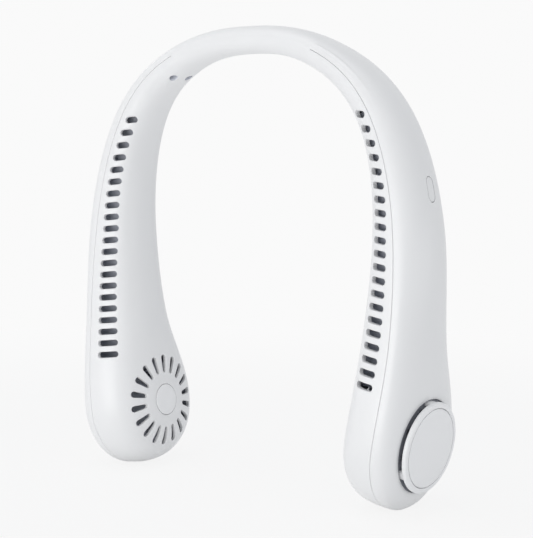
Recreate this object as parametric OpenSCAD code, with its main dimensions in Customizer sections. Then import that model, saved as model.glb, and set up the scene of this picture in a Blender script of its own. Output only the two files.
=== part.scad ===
// Electric neck fan: two hollow arms with a double-inlet blower in each lobe, joined by a soft band.
// Frame: origin on the inner face of the band, X across, -Y to the front, +Z up.
// Every piece is drawn for the right arm (+X); the left arm mirrors it.

/* [View] */
// Piece to draw, or all of them

/* [Arm line] */
// Length of the line where the shells meet, from the band centre to the tip of the lobe
arm_len = 248; // [200:1:290]
// Heading of that line a sixth of the way along, in degrees below level
turn_1 = 26.5; // [15:0.5:40]
// Heading two sixths of the way along
turn_2 = 64; // [50:0.5:75]
// Heading half of the way along
turn_3 = 82.5; // [70:0.5:90]
// Heading four sixths of the way along
turn_4 = 91; // [82:0.5:98]
// Heading five sixths of the way along
turn_5 = 97.5; // [85:0.5:105]
// Heading at the tip
turn_6 = 98; // [85:0.5:108]

/* [Arm depth, front to back] */
// Depth at the band centre
depth_band = 16; // [12:0.5:24]
// Depth where the band turns into the arm
depth_bend = 20; // [14:0.5:28]
// Depth at the shoulder, by the first slots
depth_shoulder = 26; // [20:0.5:34]
// Depth at the waist
depth_waist = 31.5; // [24:0.5:40]
// Depth above the lobe
depth_flare = 40.5; // [32:0.5:50]
// Depth of the lobe, which is its diameter
depth_lobe = 59; // [50:0.5:66]

/* [Thickness inside the joint line] */
// At the band centre
inner_band = 6; // [4:0.5:9]
// Where the band turns into the arm
inner_bend = 8; // [6:0.5:11]
// At the shoulder
inner_shoulder = 10.5; // [8:0.5:14]
// At the waist
inner_waist = 15; // [11:0.5:20]
// Above the lobe
inner_flare = 19.5; // [15:0.5:24]
// At the lobe
inner_lobe = 21.5; // [18:0.5:26]

/* [Thickness outside the joint line] */
// At the band centre
outer_band = 6; // [4:0.5:9]
// Where the band turns into the arm
outer_bend = 6; // [5:0.5:9]
// At the shoulder
outer_shoulder = 9.5; // [7:0.5:13]
// At the waist
outer_waist = 10.5; // [8:0.5:14]
// Above the lobe
outer_flare = 8.5; // [7:0.5:12]
// At the lobe
outer_lobe = 10; // [8:0.5:14]

/* [Front edge, ahead of the band centre] */
// At the band centre
front_band = 8; // [6:0.5:12]
// Where the band turns into the arm
front_bend = 8.5; // [5:0.5:14]
// At the shoulder
front_shoulder = 9; // [5:0.5:16]
// At the waist
front_waist = 10.5; // [5:0.5:18]
// Above the lobe
front_flare = 13.5; // [8:0.5:22]
// At the lobe
front_lobe = 18; // [12:0.5:26]

/* [Section] */
// Share of the depth that lies in front of the thickest place
crest_share = 0.58; // [0.45:0.01:0.65]
// Squareness of the quarter with the slots; 2 is an ellipse
square_slots = 2.75; // [2:0.05:3.5]
// Squareness of the outer front quarter
square_front = 2.1; // [2:0.05:3.5]
// Squareness of the two back quarters
square_back = 3.2; // [2:0.05:4]
// Squareness of the lobe
square_lobe = 2.8; // [2.5:0.05:3.5]
// Wall of the shells
wall = 1.5; // [1.2:0.1:1.8]
// Wall of the soft sleeve
sleeve_wall = 1.8; // [1.2:0.1:2.4]
// Length from the band centre to the end of the sleeve
sleeve_half = 38.5; // [34:0.5:40]
// Gap between the sleeve and each arm
sleeve_gap = 0.3; // [0.2:0.05:0.6]

/* [Air slots] */
// Number of slots in each arm
slot_count = 21; // [8:1:22]
// Distance of the first slot below the band's inner face
slot_start = 27.8; // [24:0.2:40]
// Distance from slot to slot at the top
slot_pitch_top = 6; // [5:0.1:7]
// Distance from slot to slot further down
slot_pitch_low = 5.35; // [4.5:0.05:5.6]
// Width of a slot
slot_w = 2.8; // [1.5:0.1:3.5]
// Length of the first slot
slot_len_top = 6; // [4:0.2:8]
// Length of the last slot
slot_len_low = 10; // [6:0.2:12]
// Distance from the joint line to the first slot
slot_off_top = 2.6; // [2:0.1:5]
// Distance from the joint line to the last slot
slot_off_low = 4.8; // [2:0.1:7]
// Tilt of the slots, inner end up, in degrees
slot_tilt = 6; // [0:0.5:15]
// Lean of the first slot towards the outer shell as it goes in, in degrees
slot_lean_top = 18; // [0:1:35]
// Lean of the last slot, in degrees
slot_lean_low = 8; // [0:1:35]

/* [Inner grille] */
// Number of radial slots
grille_count = 18; // [10:1:24]
// Radius of their outer ends
grille_r = 22; // [16:0.5:24]
// Radius of their inner ends
grille_inner_r = 13.3; // [10:0.1:16]
// Width at the outer end
grille_w = 2.8; // [1.5:0.1:3.5]
// Width at the inner end
grille_inner_w = 1.5; // [0.8:0.1:2.5]
// Radius of the plain disc in the middle
hub_disc_r = 7.4; // [5:0.1:10]
// Thickness of that disc
hub_disc_t = 1.2; // [0.8:0.1:2]
// Turn of the slots round the disc, in degrees
grille_turn = 16; // [0:1:20]

/* [Inlet cap] */
// Radius of the cap
cap_r = 20; // [18:0.1:22]
// Thickness of the cap
cap_t = 1.8; // [1.2:0.1:3]
// Height of the cap's face above the lobe
cap_stand = 2; // [1:0.1:4]
// Radius of the ring groove in the cap
cap_groove_r = 17.4; // [10:0.1:19]
// Width of the ring groove
cap_groove_w = 0.8; // [0.4:0.1:1.5]
// Depth of the dish under the cap
dish_depth = 3; // [1:0.1:4]
// Lean of the cap towards the front, in degrees
cap_lean = 2.75; // [0:0.25:5]
// Shift of the cap towards the back
cap_shift = 0.9; // [0:0.1:2]
// Gap between the cap and the shell, where air goes in
intake_gap = 1.45; // [0.8:0.05:3]
// Slope of the shell down to the gap, in degrees
dish_slope = 12; // [5:1:25]
// Number of posts that hold the cap
post_count = 3; // [3:1:6]
// Width of a post, round the cap
post_w = 4.4; // [2:0.1:6]
// Thickness of a post
post_t = 2.2; // [1:0.1:3]

/* [Blower] */
// Gap between the scroll and the wall of the lobe
scroll_gap = 2.9; // [0.6:0.1:6]
// Height of the impeller along its axis
wheel_h = 10.4; // [6:0.2:10.6]
// Number of blades
blade_count = 27; // [12:1:36]
// Width of the ring of blades
blade_w = 5; // [3:0.5:7]
// Thickness of a blade
blade_t = 0.7; // [0.5:0.1:1.2]
// Radius of the curve of a blade
blade_curve_r = 5; // [3:0.5:9]
// Radius of the shaft
shaft_r = 1; // [0.75:0.05:1.5]
// Running clearance of the shaft in its bearings
run_clear = 0.03; // [0.01:0.01:0.08]
// Least gap between the wheel and the scroll
wheel_gap = 1.3; // [0.6:0.1:2.5]
// Growth of the scroll from tongue to outlet
scroll_growth = 3.6; // [2:0.1:5]
// Wall of the scroll
scroll_wall = 1.2; // [0.8:0.1:2]

/* [Power button] */
// Length of the button
button_len = 10.4; // [7:0.1:12]
// Width of the button
button_w = 4.8; // [3:0.1:6]
// Distance of the button along the arm
button_s = 113.5; // [108:0.5:118]
// Gap round the button
button_gap = 0.25; // [0.1:0.05:0.5]
// Travel of the button
button_travel = 0.4; // [0.2:0.05:0.8]

/* [Inside] */
// Thickness of a battery cell
cell_t = 11; // [6:0.5:13]
// Width of a battery cell
cell_w = 15; // [10:0.5:16]
// Length of a battery cell
cell_len = 42; // [25:1:48]
// Gap between a cell and the board above it
cell_gap = 8; // [2:0.5:12]
// Thickness of a circuit board
board_t = 1.2; // [0.8:0.1:1.6]
// Length of a circuit board
board_len = 38; // [28:1:44]
// Gap between a circuit board and the back wall
board_gap = 1.2; // [0.5:0.1:4]
// Thickness of the spring strip in the band
strip_t = 0.8; // [0.5:0.1:1.2]
// Radius of a screw shank
screw_r = 0.95; // [0.7:0.05:1.2]
// Distance between the two screws of an arm
screw_gap = 8.6; // [8:0.1:11]
// How far the front screw lies further down the arm than the back one
screw_skew = 2; // [0:0.5:4]

/* [Hidden] */

white = [0.95, 0.95, 0.94];
soft_white = [0.93, 0.93, 0.92];
slate = [0.22, 0.24, 0.27];
steel = [0.72, 0.73, 0.75];
copper = [0.72, 0.45, 0.24];
magnet = [0.30, 0.30, 0.31];
green = [0.07, 0.32, 0.18];
foil = [0.55, 0.60, 0.66];

fine = 64;
coarse = 12;
slot_fn = 8;
over = 1;
touch = 0.03;
fit = 0.12;

// The arm line and the section
line_steps = 120;
lobe_r = depth_lobe / 2;
lobe_s = arm_len - lobe_r;
wheel_r = lobe_r - wall - scroll_gap - scroll_wall - scroll_growth - wheel_gap;
blade_inner_r = wheel_r - blade_w;
depths = [depth_band, depth_bend, depth_shoulder, depth_waist, depth_flare, depth_lobe];
inners = [inner_band, inner_bend, inner_shoulder, inner_waist, inner_flare, inner_lobe];
outers = [outer_band, outer_bend, outer_shoulder, outer_waist, outer_flare, outer_lobe];
fronts = [front_band, front_bend, front_shoulder, front_waist, front_flare, front_lobe];

function mix(a, b, t) = a + (b - a) * t;
function limit(x) = min(max(x, 0), 1);

// A smooth curve through equally spaced stations, level at both ends
function blend(v, share) =
    let (n = len(v) - 1,
         x = limit(share) * n,
         i = min(floor(x), n - 1),
         t = x - i,
         p0 = v[i == 0 ? 1 : i - 1],
         p1 = v[i],
         p2 = v[i + 1],
         p3 = v[i + 2 > n ? n - 1 : i + 2])
    (2 * p1 + (p2 - p0) * t + (2 * p0 - 5 * p1 + 4 * p2 - p3) * pow(t, 2)
        + (3 * p1 - p0 - 3 * p2 + p3) * pow(t, 3)) / 2;

turns = [0, turn_1, turn_2, turn_3, turn_4, turn_5, turn_6];
function heading(s) = blend(turns, abs(s) / arm_len);
line_step = arm_len / line_steps;
line_x = [for (i = 0, v = 0; i <= line_steps;
    v = v + cos(heading((i + 0.5) * line_step)) * line_step, i = i + 1) [i * line_step, v]];
line_z = [for (i = 0, v = inner_band; i <= line_steps;
    v = v - sin(heading((i + 0.5) * line_step)) * line_step, i = i + 1) [i * line_step, v]];

function share(s) = limit(abs(s) / lobe_s);
function depth_at(s) = blend(depths, share(s));
function inner_at(s) = blend(inners, share(s));
function outer_at(s) = blend(outers, share(s));
function mid_y(s) = depth_at(s) / 2 - blend(fronts, share(s));
function side(s) = s < 0 ? -1 : 1;

// The lobe is even all round, so the section's own form fades out towards it
function even(s) = pow(share(s), 3);
function crest(s) = mix(crest_share, 1 / 2, even(s));
function crest_y(s) = mid_y(s) + (crest(s) - 1 / 2) * depth_at(s);
function reach(s, back) = (back ? 1 - crest(s) : crest(s)) * depth_at(s);
function thick(s, out) = out ? outer_at(s) : inner_at(s);
function squareness(s, out, back) =
    mix(back ? square_back : out ? square_front : square_slots, square_lobe, even(s));

// A point: s along the line, n outward from it, y as it is
function place(s, n, y) = [
    side(s) * (lookup(abs(s), line_x) + n * sin(heading(s))),
    y,
    lookup(abs(s), line_z) + n * cos(heading(s))];

// How much of the section is left beyond the lobe's centre
function past(s, inset) = limit((abs(s) - lobe_s) / (lobe_r - inset));
function depth_left(s, inset) = sqrt(max(0, 1 - pow(past(s, inset), 2)));
function height_left(s, inset) = pow(max(0, 1 - pow(past(s, inset), square_lobe)), 1 / square_lobe);
function power(v, e) = sign(v) * pow(abs(v), 2 / e);

// A point of the section at angle a: 0 is outward, 90 the front, 180 inward, 270 the back
function skin(s, a, inset) =
    let (out = cos(a) > 0,
         back = sin(a) < 0,
         e = squareness(s, out, back),
         left = depth_left(s, inset),
         centre = mid_y(s) + (crest_y(s) - mid_y(s)) * left)
    place(s, power(cos(a), e) * (thick(s, out) - inset) * height_left(s, inset),
        centre - power(sin(a), e) * (reach(s, back) - inset) * left);

// What is left of a quarter's reach at a share of the other one
function round_off(v, e) = pow(1 - pow(min(1, abs(v)), e), 1 / e);

// The section's thickness at a given y, and its reach to front or back at height n
function thick_at(s, y, out, inset) =
    let (back = y > crest_y(s))
    (thick(s, out) - inset)
        * round_off((y - crest_y(s)) / (reach(s, back) - inset), squareness(s, out, back));
function reach_at(s, n, back, inset) =
    (reach(s, back) - inset) * round_off(n / (thick(s, n > 0) - inset), squareness(s, n > 0, back));

module at_arm(s, n = 0, y = 0) {
    translate([lookup(s, line_x), 0, lookup(s, line_z)])
        rotate([0, heading(s), 0])
            translate([0, y, n])
                children();
}

// The lobe's own frame: Z is outward along the blower's axis
module at_lobe(n = 0) {
    at_arm(lobe_s, n, mid_y(lobe_s)) children();
}

module left_side() {
    mirror([1, 0, 0]) children();
}

// Round pill that stands on z = 0, along X, and a plate with round corners
module pill(len, w, h, fn) {
    hull() {
        for (x = [-1, 1])
            translate([x * (len - w) / 2, 0, 0])
                cylinder(h = h, r = w / 2, $fn = fn);
    }
}

module round_plate(len, w, h, r) {
    linear_extrude(h)
        union() {
            square([len - 2 * r, w], center = true);
            square([len, w - 2 * r], center = true);
            for (x = [-1, 1], y = [-1, 1])
                translate([x * (len / 2 - r), y * (w / 2 - r)])
                    circle(r = r, $fn = fine);
        }
}

module ring(r_out, r_in, h) {
    difference() {
        cylinder(h = h, r = r_out, $fn = fine);
        translate([0, 0, -over])
            cylinder(h = h + 2 * over, r = r_in, $fn = fine);
    }
}

// Two shell halves: a lofted skin, its inset copy and the edges between them
arm_rows = 16;
end_rows = 6;
half_cols = 9;
shell_start = sleeve_half + sleeve_gap;

function row_s(i, inset) = i <= arm_rows
    ? mix(shell_start, lobe_s, i / arm_rows)
    : lobe_s + (lobe_r - inset) * sin(90 * (i - arm_rows) / end_rows);

module half_shell(from) {
    rows = arm_rows + end_rows;
    w = half_cols + 1;
    outer_skin = [for (i = [0:rows - 1], j = [0:half_cols])
        skin(row_s(i, 0), from + 180 * j / half_cols, 0)];
    inner_skin = [for (i = [0:rows - 1], j = [0:half_cols])
        skin(row_s(i, wall), from + 180 * j / half_cols, wall)];
    tips = [skin(row_s(rows, 0), from, 0), skin(row_s(rows, wall), from, wall)];
    b = rows * w;
    tip_a = 2 * b;
    tip_b = 2 * b + 1;
    last = (rows - 1) * w;
    polyhedron(points = concat(outer_skin, inner_skin, tips), faces = concat(
        [for (i = [0:rows - 2], j = [0:half_cols - 1], k = [0, 1])
            let (p = i * w + j) k == 0 ? [p, p + w + 1, p + 1] : [p, p + w, p + w + 1]],
        [for (i = [0:rows - 2], j = [0:half_cols - 1], k = [0, 1])
            let (p = b + i * w + j) k == 0 ? [p, p + 1, p + w + 1] : [p, p + w + 1, p + w]],
        [for (j = [0:half_cols - 1]) [last + j, tip_a, last + j + 1]],
        [for (j = [0:half_cols - 1]) [b + last + j + 1, tip_b, b + last + j]],
        [for (i = [0:rows - 2], k = [0, 1])
            let (p = i * w) k == 0 ? [p, b + p + w, p + w] : [p, b + p, b + p + w]],
        [for (i = [0:rows - 2], k = [0, 1])
            let (p = i * w + half_cols) k == 0 ? [p + w, b + p, p] : [p + w, b + p + w, b + p]],
        [[last, tip_b, tip_a], [last, b + last, tip_b]],
        [[tip_a, b + last + half_cols, last + half_cols], [tip_a, tip_b, b + last + half_cols]],
        [for (j = [0:half_cols - 1], k = [0, 1])
            k == 0 ? [j + 1, b + j, j] : [j + 1, b + j + 1, b + j]]));
}

// A solid length of the section, which trims what stands inside a shell
module filled(from, to, rows, cols, inset) {
    m = cols;
    pts = [for (i = [0:rows], j = [0:m - 1]) skin(mix(from, to, i / rows), 360 * j / m, inset)];
    polyhedron(points = pts, faces = concat(
        [for (i = [0:rows - 1], j = [0:m - 1], k = [0, 1])
            let (p = i * m + j, q = i * m + (j + 1) % m) k == 0 ? [p, q + m, q] : [p, p + m, q + m]],
        [[for (j = [0:m - 1]) j]],
        [[for (j = [m - 1:-1:0]) rows * m + j]]));
}

// The two screws of an arm, side by side
screw_set = 6;
screw_s = sleeve_half + screw_set;
screw_y = mid_y(screw_s) - depth_at(screw_s) / 40;
recess_r = 1.9;
boss_r = 2.5;
head_r = 1.7;
head_t = 1.2;
head_n = -3.6;
screw_len = 6.2;
hole_clear = 0.15;

module at_screws() {
    for (k = [-1, 1])
        at_arm(screw_s - k * screw_skew / 2, 0, screw_y + k * screw_gap / 2) children();
}

// The bosses of one shell, from the spring strip to the middle of its wall
module bosses(out) {
    intersection() {
        at_screws()
            translate([0, 0, out ? strip_t / 2 : -strip_t / 2 - inner_lobe])
                cylinder(h = inner_lobe, r = boss_r, $fn = coarse);
        filled(shell_start, screw_s + 3 * boss_r, 3, 2 * coarse, wall / 2);
    }
}

// Slots lie level in a row, so each is found by its height on the line
line_s = [for (p = line_z) [-p[1], p[0]]];
slot_fall = [for (k = 0, v = slot_start; k < slot_count;
    v = v + mix(slot_pitch_low, slot_pitch_top, pow(1 - k / (slot_count - 1), 3)), k = k + 1) v];
function slot_len(k) = mix(slot_len_top, slot_len_low, k / (slot_count - 1));
function slot_off(k) = mix(slot_off_top, slot_off_low, k / (slot_count - 1));
function slot_lean(k) = tan(mix(slot_lean_top, slot_lean_low, k / (slot_count - 1)));

// The front skin at a level distance in from the line
function front_skin(s, in) =
    let (q = s - in * cos(heading(s)))
    crest_y(q) - reach_at(q, -in * sin(heading(s)), false, 0);

module air_slots() {
    for (k = [0:slot_count - 1]) {
        s = lookup(slot_fall[k], line_s);
        near = front_skin(s, slot_off(k)) - over;
        middle = front_skin(s, slot_off(k) + slot_len(k) / 2);
        far = front_skin(s, slot_off(k) + slot_len(k)) + 2 * wall;
        x = lookup(s, line_x) - slot_off(k) - slot_len(k) / 2 - slot_lean(k) * (middle - near);
        translate([x, near, -slot_fall[k]])
            multmatrix([[1, slot_lean(k), 0, 0], [0, 1, 0, 0], [0, 0, 1, 0], [0, 0, 0, 1]])
                rotate([-90, slot_tilt, 0])
                    pill(slot_len(k), slot_w, far - near, slot_fn);
    }
}

module radial_slots(count, r_in, r_out, w_in, w_out, h) {
    for (k = [0:count - 1])
        rotate(360 * k / count)
            hull() {
                translate([r_in + w_in / 2, 0, 0])
                    cylinder(h = h, r = w_in / 2, $fn = slot_fn);
                translate([r_out - w_out / 2, 0, 0])
                    cylinder(h = h, r = w_out / 2, $fn = slot_fn);
            }
}

module inner_shell() {
    difference() {
        union() {
            half_shell(90);
            bosses(false);
            at_lobe(-inner_lobe + wall / 2)
                cylinder(h = 2 * wall, r = hub_disc_r + wall, $fn = 3 * coarse);
        }
        air_slots();
        at_lobe(-inner_lobe - over)
            rotate(grille_turn)
                radial_slots(grille_count, grille_inner_r, grille_r,
                    grille_inner_w, grille_w, inner_lobe / 2);
        at_lobe(-inner_lobe - over)
            cylinder(h = over + hub_disc_t + touch, r = hub_disc_r + fit, $fn = 4 * coarse);
        at_screws() {
            translate([0, 0, -inner_at(screw_s) - over])
                cylinder(h = inner_at(screw_s) + 2 * over, r = screw_r + hole_clear, $fn = coarse);
            translate([0, 0, -inner_at(screw_s) - over])
                cylinder(h = inner_at(screw_s) + over + head_n, r = recess_r, $fn = coarse);
        }
    }
}

// The outer shell: a dish under the cap with a floor of radial inlets
dish_gap = 0.2;
well_rows = 24;
dish_n = outer_lobe - dish_depth;
dish_r = cap_r + dish_gap;
floor_n = dish_n - wall;
cap_n = outer_lobe + cap_stand - cap_t;
rim_n = cap_n - intake_gap;
well_y = cap_shift - rim_n * sin(cap_lean);
leg_r = 1.2;
leg_at = wheel_r + wheel_gap - 3 * leg_r / 2;
inlet_count = 9;
inlet_inner_r = 9.6;
inlet_outer_r = leg_at - leg_r - fit;
inlet_w = 3;
board_shift = 9;
port_s = button_s - board_shift;
port_w = 9;
port_h = 3.2;
port_depth = 7.3;
port_clear = 0.25;
board_n = 1;
board_top = board_n + board_t;
port_n = board_top + port_h / 2 + touch;
button_y = mid_y(button_s) + depth_at(button_s) / 16;
button_n = thick_at(button_s, button_y, true, 0);

// The cap leans a little towards the front, and the rim of its well with it
module at_cap(n) {
    at_lobe(0)
        translate([0, cap_shift, 0])
            rotate([cap_lean, 0, 0])
                translate([0, 0, n])
                    children();
}

module well(n, r, h) {
    at_lobe(n)
        translate([0, well_y, 0])
            cylinder(h = h, r = r, $fn = 4 * coarse);
}

module outer_shell_blank() {
    difference() {
        union() {
            half_shell(-90);
            intersection() {
                well(floor_n, dish_r + wall, outer_lobe);
                filled(lobe_s - dish_r - 3 * wall, lobe_s + dish_r + 2 * wall, well_rows, 4 * coarse, wall / 2);
            }
            bosses(true);
        }
        well(dish_n, dish_r, outer_lobe);
        at_cap(rim_n)
            cylinder(h = dish_depth, r1 = dish_r, r2 = dish_r + dish_depth / tan(dish_slope), $fn = 4 * coarse);
        at_lobe(floor_n - over) translate([0, well_y, 0])
            radial_slots(inlet_count, inlet_inner_r, inlet_outer_r, inlet_w / 2, inlet_w, wall + 2 * over);
        at_screws()
            translate([0, 0, -over])
                cylinder(h = over + screw_len + head_n + over / 2, r = screw_r + hole_clear, $fn = coarse);
    }
}

module left_outer_shell() {
    color(white) left_side() difference() {
        outer_shell_blank();
        at_arm(port_s, port_n, 0)
            rotate([-90, 0, 0])
                pill(port_w + 2 * port_clear, port_h + 2 * port_clear, depth_shoulder, 2 * coarse);
    }
}

module right_outer_shell() {
    color(white) difference() {
        outer_shell_blank();
        at_arm(button_s, button_n / 2, button_y)
            pill(button_len + 2 * button_gap, button_w + 2 * button_gap, button_n, 2 * coarse);
    }
}

// The cap with its ring groove and posts
cap_edge = 1;
post_inset = 0.4;
post_turn = 183;
post_at = cap_r - post_inset - post_t / 2;
function post_top(a) = (cap_n + cap_t / 3 + (well_y - cap_shift + post_at * sin(a)) * sin(cap_lean)) / cos(cap_lean);

module inlet_cap() {
    color(white) {
        at_cap(cap_n) difference() {
            rotate_extrude($fn = fine)
                difference() {
                    union() {
                        square([cap_r - cap_edge, cap_t]);
                        square([cap_r, cap_t - cap_edge]);
                        translate([cap_r - cap_edge, cap_t - cap_edge])
                            circle(r = cap_edge, $fn = fine);
                    }
                    translate([0, -cap_edge])
                        square([cap_r, cap_edge]);
                }
            translate([0, 0, cap_t - cap_groove_w / 2])
                ring(cap_groove_r + cap_groove_w / 2, cap_groove_r - cap_groove_w / 2, cap_groove_w);
        }
        at_lobe(dish_n) translate([0, well_y, 0])
            for (k = [0:post_count - 1])
                let (a = post_turn + 360 * k / post_count)
                    rotate(a) translate([post_at, 0, 0]) rotate(90)
                        pill(post_w, post_t, post_top(a) - dish_n, 2 * coarse);
    }
}

module hub_disc() {
    color(white) at_lobe(-inner_lobe)
        union() {
            translate([0, 0, hub_disc_t / 4])
                cylinder(h = hub_disc_t * 3 / 4, r = hub_disc_r, $fn = fine);
            cylinder(h = hub_disc_t / 2, r = hub_disc_r - hub_disc_t / 4, $fn = fine);
        }
}

// A flat plate that parts the air duct from the cells, cut to the cavity
divider_t = 1.2;
duct_depth = 8.5;
divider_front = duct_depth - front_waist;
divider_gap = 0.4;
divider_set = 36;
divider_from = sleeve_half + divider_set;
divider_steps = 24;
scroll_out_r = wheel_r + wheel_gap + scroll_growth + scroll_wall;
divider_to = lobe_s - scroll_out_r - fit;

module duct_divider() {
    edge = divider_front;
    rows = [for (i = [0:divider_steps]) mix(divider_from, divider_to, i / divider_steps)];
    back = [for (i = [divider_steps:-1:0]) rows[i]];
    in_side = [for (s = rows) place(s, -thick_at(s, edge, false, wall) + divider_gap, 0)];
    out_side = [for (s = back) place(s, thick_at(s, edge, true, wall) - divider_gap, 0)];
    color(slate) translate([0, divider_front + divider_t, 0])
        rotate([90, 0, 0])
            linear_extrude(divider_t)
                polygon([for (p = concat(in_side, out_side)) [p[0], p[2]]]);
}

// The scroll round the wheel, open to the duct at the front
scroll_plate = 1;
scroll_drop = 0.7;
end_gap = 0.8;
scroll_to = floor_n - scroll_drop - scroll_plate;
scroll_from = scroll_to - wheel_h - 2 * end_gap;
scroll_steps = 40;
scroll_turn = 300;
scroll_first = -150;
leg_count = 4;

function scroll_r(i) = wheel_r + wheel_gap + scroll_growth * i / scroll_steps;
function scroll_a(i) = scroll_first - scroll_turn * i / scroll_steps;

module scroll() {
    inside = [for (i = [0:scroll_steps]) scroll_r(i) * [cos(scroll_a(i)), sin(scroll_a(i))]];
    rim = [for (i = [0:scroll_steps]) (scroll_r(i) + scroll_wall) * [cos(scroll_a(i)), sin(scroll_a(i))]];
    outside = [for (i = [scroll_steps:-1:0]) rim[i]];
    color(slate) at_lobe(0) {
        translate([0, 0, scroll_from])
            linear_extrude(scroll_to - scroll_from)
                polygon(concat(inside, outside));
        for (z = [scroll_from - scroll_plate, scroll_to])
            difference() {
                translate([0, 0, z])
                    linear_extrude(scroll_plate)
                        polygon(rim);
                translate([0, 0, z - over])
                    cylinder(h = scroll_plate + 2 * over, r = blade_inner_r + wheel_gap, $fn = fine);
            }
        for (k = [0:leg_count - 1])
            rotate(45 + 90 * k)
                translate([leg_at, 0, scroll_to])
                    cylinder(h = floor_n - scroll_to, r = leg_r, $fn = fine);
    }
}

// The motor: base with a bearing tube, two bearings, stator, shaft, magnet and cup
base_r = 8;
base_t = 1.2;
tube_r = 2.7;
bearing_r = 2;
bearing_len = 2.4;
base_n = floor_n - base_t;
tube_n = base_n - 8.3;
stator_r = 6.1;
stator_n = base_n - 7.7;
stator_h = 5.4;
pole_count = 9;
magnet_in_r = 6.4;
magnet_t = 0.5;
cup_t = 0.6;
cup_n = base_n - 9.7;
cup_to = base_n - 0.9;
wheel_n = scroll_from + end_gap;
cup_in_r = magnet_in_r + magnet_t + touch;
cup_r = cup_in_r + cup_t;

module motor_base() {
    color(slate) at_lobe(0)
        difference() {
            union() {
                translate([0, 0, base_n])
                    cylinder(h = base_t, r = base_r, $fn = fine);
                translate([0, 0, tube_n])
                    cylinder(h = base_n - tube_n + base_t / 2, r = tube_r, $fn = fine);
            }
            translate([0, 0, tube_n - over])
                cylinder(h = base_n - tube_n + over + base_t / 2, r = bearing_r + touch, $fn = fine);
        }
}

module bearings() {
    color(copper) at_lobe(0)
        for (z = [tube_n, base_n + base_t / 2 - bearing_len - touch])
            translate([0, 0, z])
                ring(bearing_r, shaft_r + run_clear, bearing_len);
}

module shaft() {
    color(steel) at_lobe(cup_n)
        cylinder(h = base_n - cup_n, r = shaft_r, $fn = fine);
}

module stator() {
    neck = stator_r / 5;
    color(copper) at_lobe(stator_n)
        linear_extrude(stator_h)
            difference() {
                circle(r = stator_r, $fn = fine);
                circle(r = tube_r + touch, $fn = fine);
                for (k = [0:pole_count - 1])
                    rotate(360 * k / pole_count)
                        translate([tube_r + neck, -neck / 3])
                            square([stator_r, neck * 2 / 3]);
            }
}

module magnet_ring() {
    color(magnet) at_lobe(stator_n)
        ring(magnet_in_r + magnet_t, magnet_in_r, stator_h);
}

module rotor_cup() {
    color(steel) at_lobe(cup_n)
        difference() {
            cylinder(h = cup_to - cup_n, r = cup_r, $fn = fine);
            translate([0, 0, cup_t])
                cylinder(h = cup_to - cup_n, r = cup_in_r, $fn = fine);
            translate([0, 0, -over])
                cylinder(h = cup_t + 2 * over, r = shaft_r + touch / 3, $fn = fine);
        }
}

// The wheel: a hub over the cup, a middle plate and two rows of curved blades
hub_t = 1;
plate_t = 1;
hoop_w = 1.2;
hoop_h = 1;

module blade_ring_2d() {
    mid_r = (wheel_r + blade_inner_r) / 2;
    difference() {
        intersection() {
            difference() {
                circle(r = wheel_r - hoop_w / 4, $fn = fine);
                circle(r = blade_inner_r, $fn = fine);
            }
            for (k = [0:blade_count - 1])
                rotate(360 * k / blade_count)
                    translate([mid_r, blade_curve_r])
                        difference() {
                            circle(r = blade_curve_r, $fn = fine);
                            circle(r = blade_curve_r - blade_t, $fn = fine);
                            translate([-2 * blade_curve_r, 0])
                                square([4 * blade_curve_r, 2 * blade_curve_r]);
                        }
        }
    }
}

module impeller() {
    color(slate) at_lobe(wheel_n) {
        linear_extrude(wheel_h)
            blade_ring_2d();
        for (z = [0, wheel_h - hoop_h])
            translate([0, 0, z])
                ring(wheel_r, wheel_r - hoop_w, hoop_h);
        translate([0, 0, (wheel_h - plate_t) / 2])
            ring(blade_inner_r + (wheel_r - blade_inner_r) / 2, cup_r + touch, plate_t);
        difference() {
            translate([0, 0, cup_n - wheel_n - hub_t])
                cylinder(h = cup_to - cup_n, r = cup_r + touch + hub_t, $fn = fine);
            translate([0, 0, cup_n - wheel_n])
                cylinder(h = cup_to - cup_n, r = cup_r + touch, $fn = fine);
        }
    }
}

// Cells and boards behind the divider
back_y = divider_front + divider_t + touch;
board_s = port_s;
board_from = board_s - board_len / 2;
board_w = crest_y(board_from) + reach_at(board_from, board_top, true, wall) - back_y - board_gap;
cell_from = board_s + board_len / 2 + cell_gap;
cell_s = cell_from + cell_len / 2;
cell_to = cell_from + cell_len;
cell_n = (thick_at(cell_to, back_y, true, wall) - thick_at(cell_from, back_y, false, wall)) / 2;
cell_corner = 2;

module cell() {
    color(foil) at_arm(cell_s, cell_n, back_y)
        rotate([-90, 0, 0])
            round_plate(cell_len, cell_w, cell_t, cell_corner);
}

module board() {
    color(green) at_arm(board_s, board_n, back_y + board_w / 2)
        round_plate(board_len, board_w, board_t, 1);
}

module charge_board() {
    left_side() board();
}

module main_board() {
    board();
}

port_y = crest_y(port_s) + reach_at(port_s, port_n, true, 0) - wall / 3;
port_wall = 0.4;

module usb_socket() {
    color(steel) left_side()
        at_arm(port_s, port_n, port_y)
            rotate([90, 0, 0])
                difference() {
                    pill(port_w, port_h, port_depth, 2 * coarse);
                    translate([0, 0, -over])
                        pill(port_w - 2 * port_wall, port_h - 2 * port_wall, port_depth, 2 * coarse);
                }
}

// The button floats over a tact switch on the main board
switch_w = 5;
switch_h = 2.6;
plunger_r = 1.4;
plunger_h = 0.8;
rest_gap = 0.1;
flange_t = 0.8;
flange_out = 1;
button_top = button_n - 0.05;
button_t = 2.4;
stem_r = 1.5;
switch_x = button_s - board_s;

module tact_switch() {
    color(magnet) at_arm(board_s, board_top + touch, 0)
        translate([switch_x, button_y, 0]) {
            translate([-switch_w / 2, -switch_w / 2, 0])
                cube([switch_w, switch_w, switch_h]);
            cylinder(h = switch_h + plunger_h, r = plunger_r, $fn = fine);
        }
}

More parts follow.
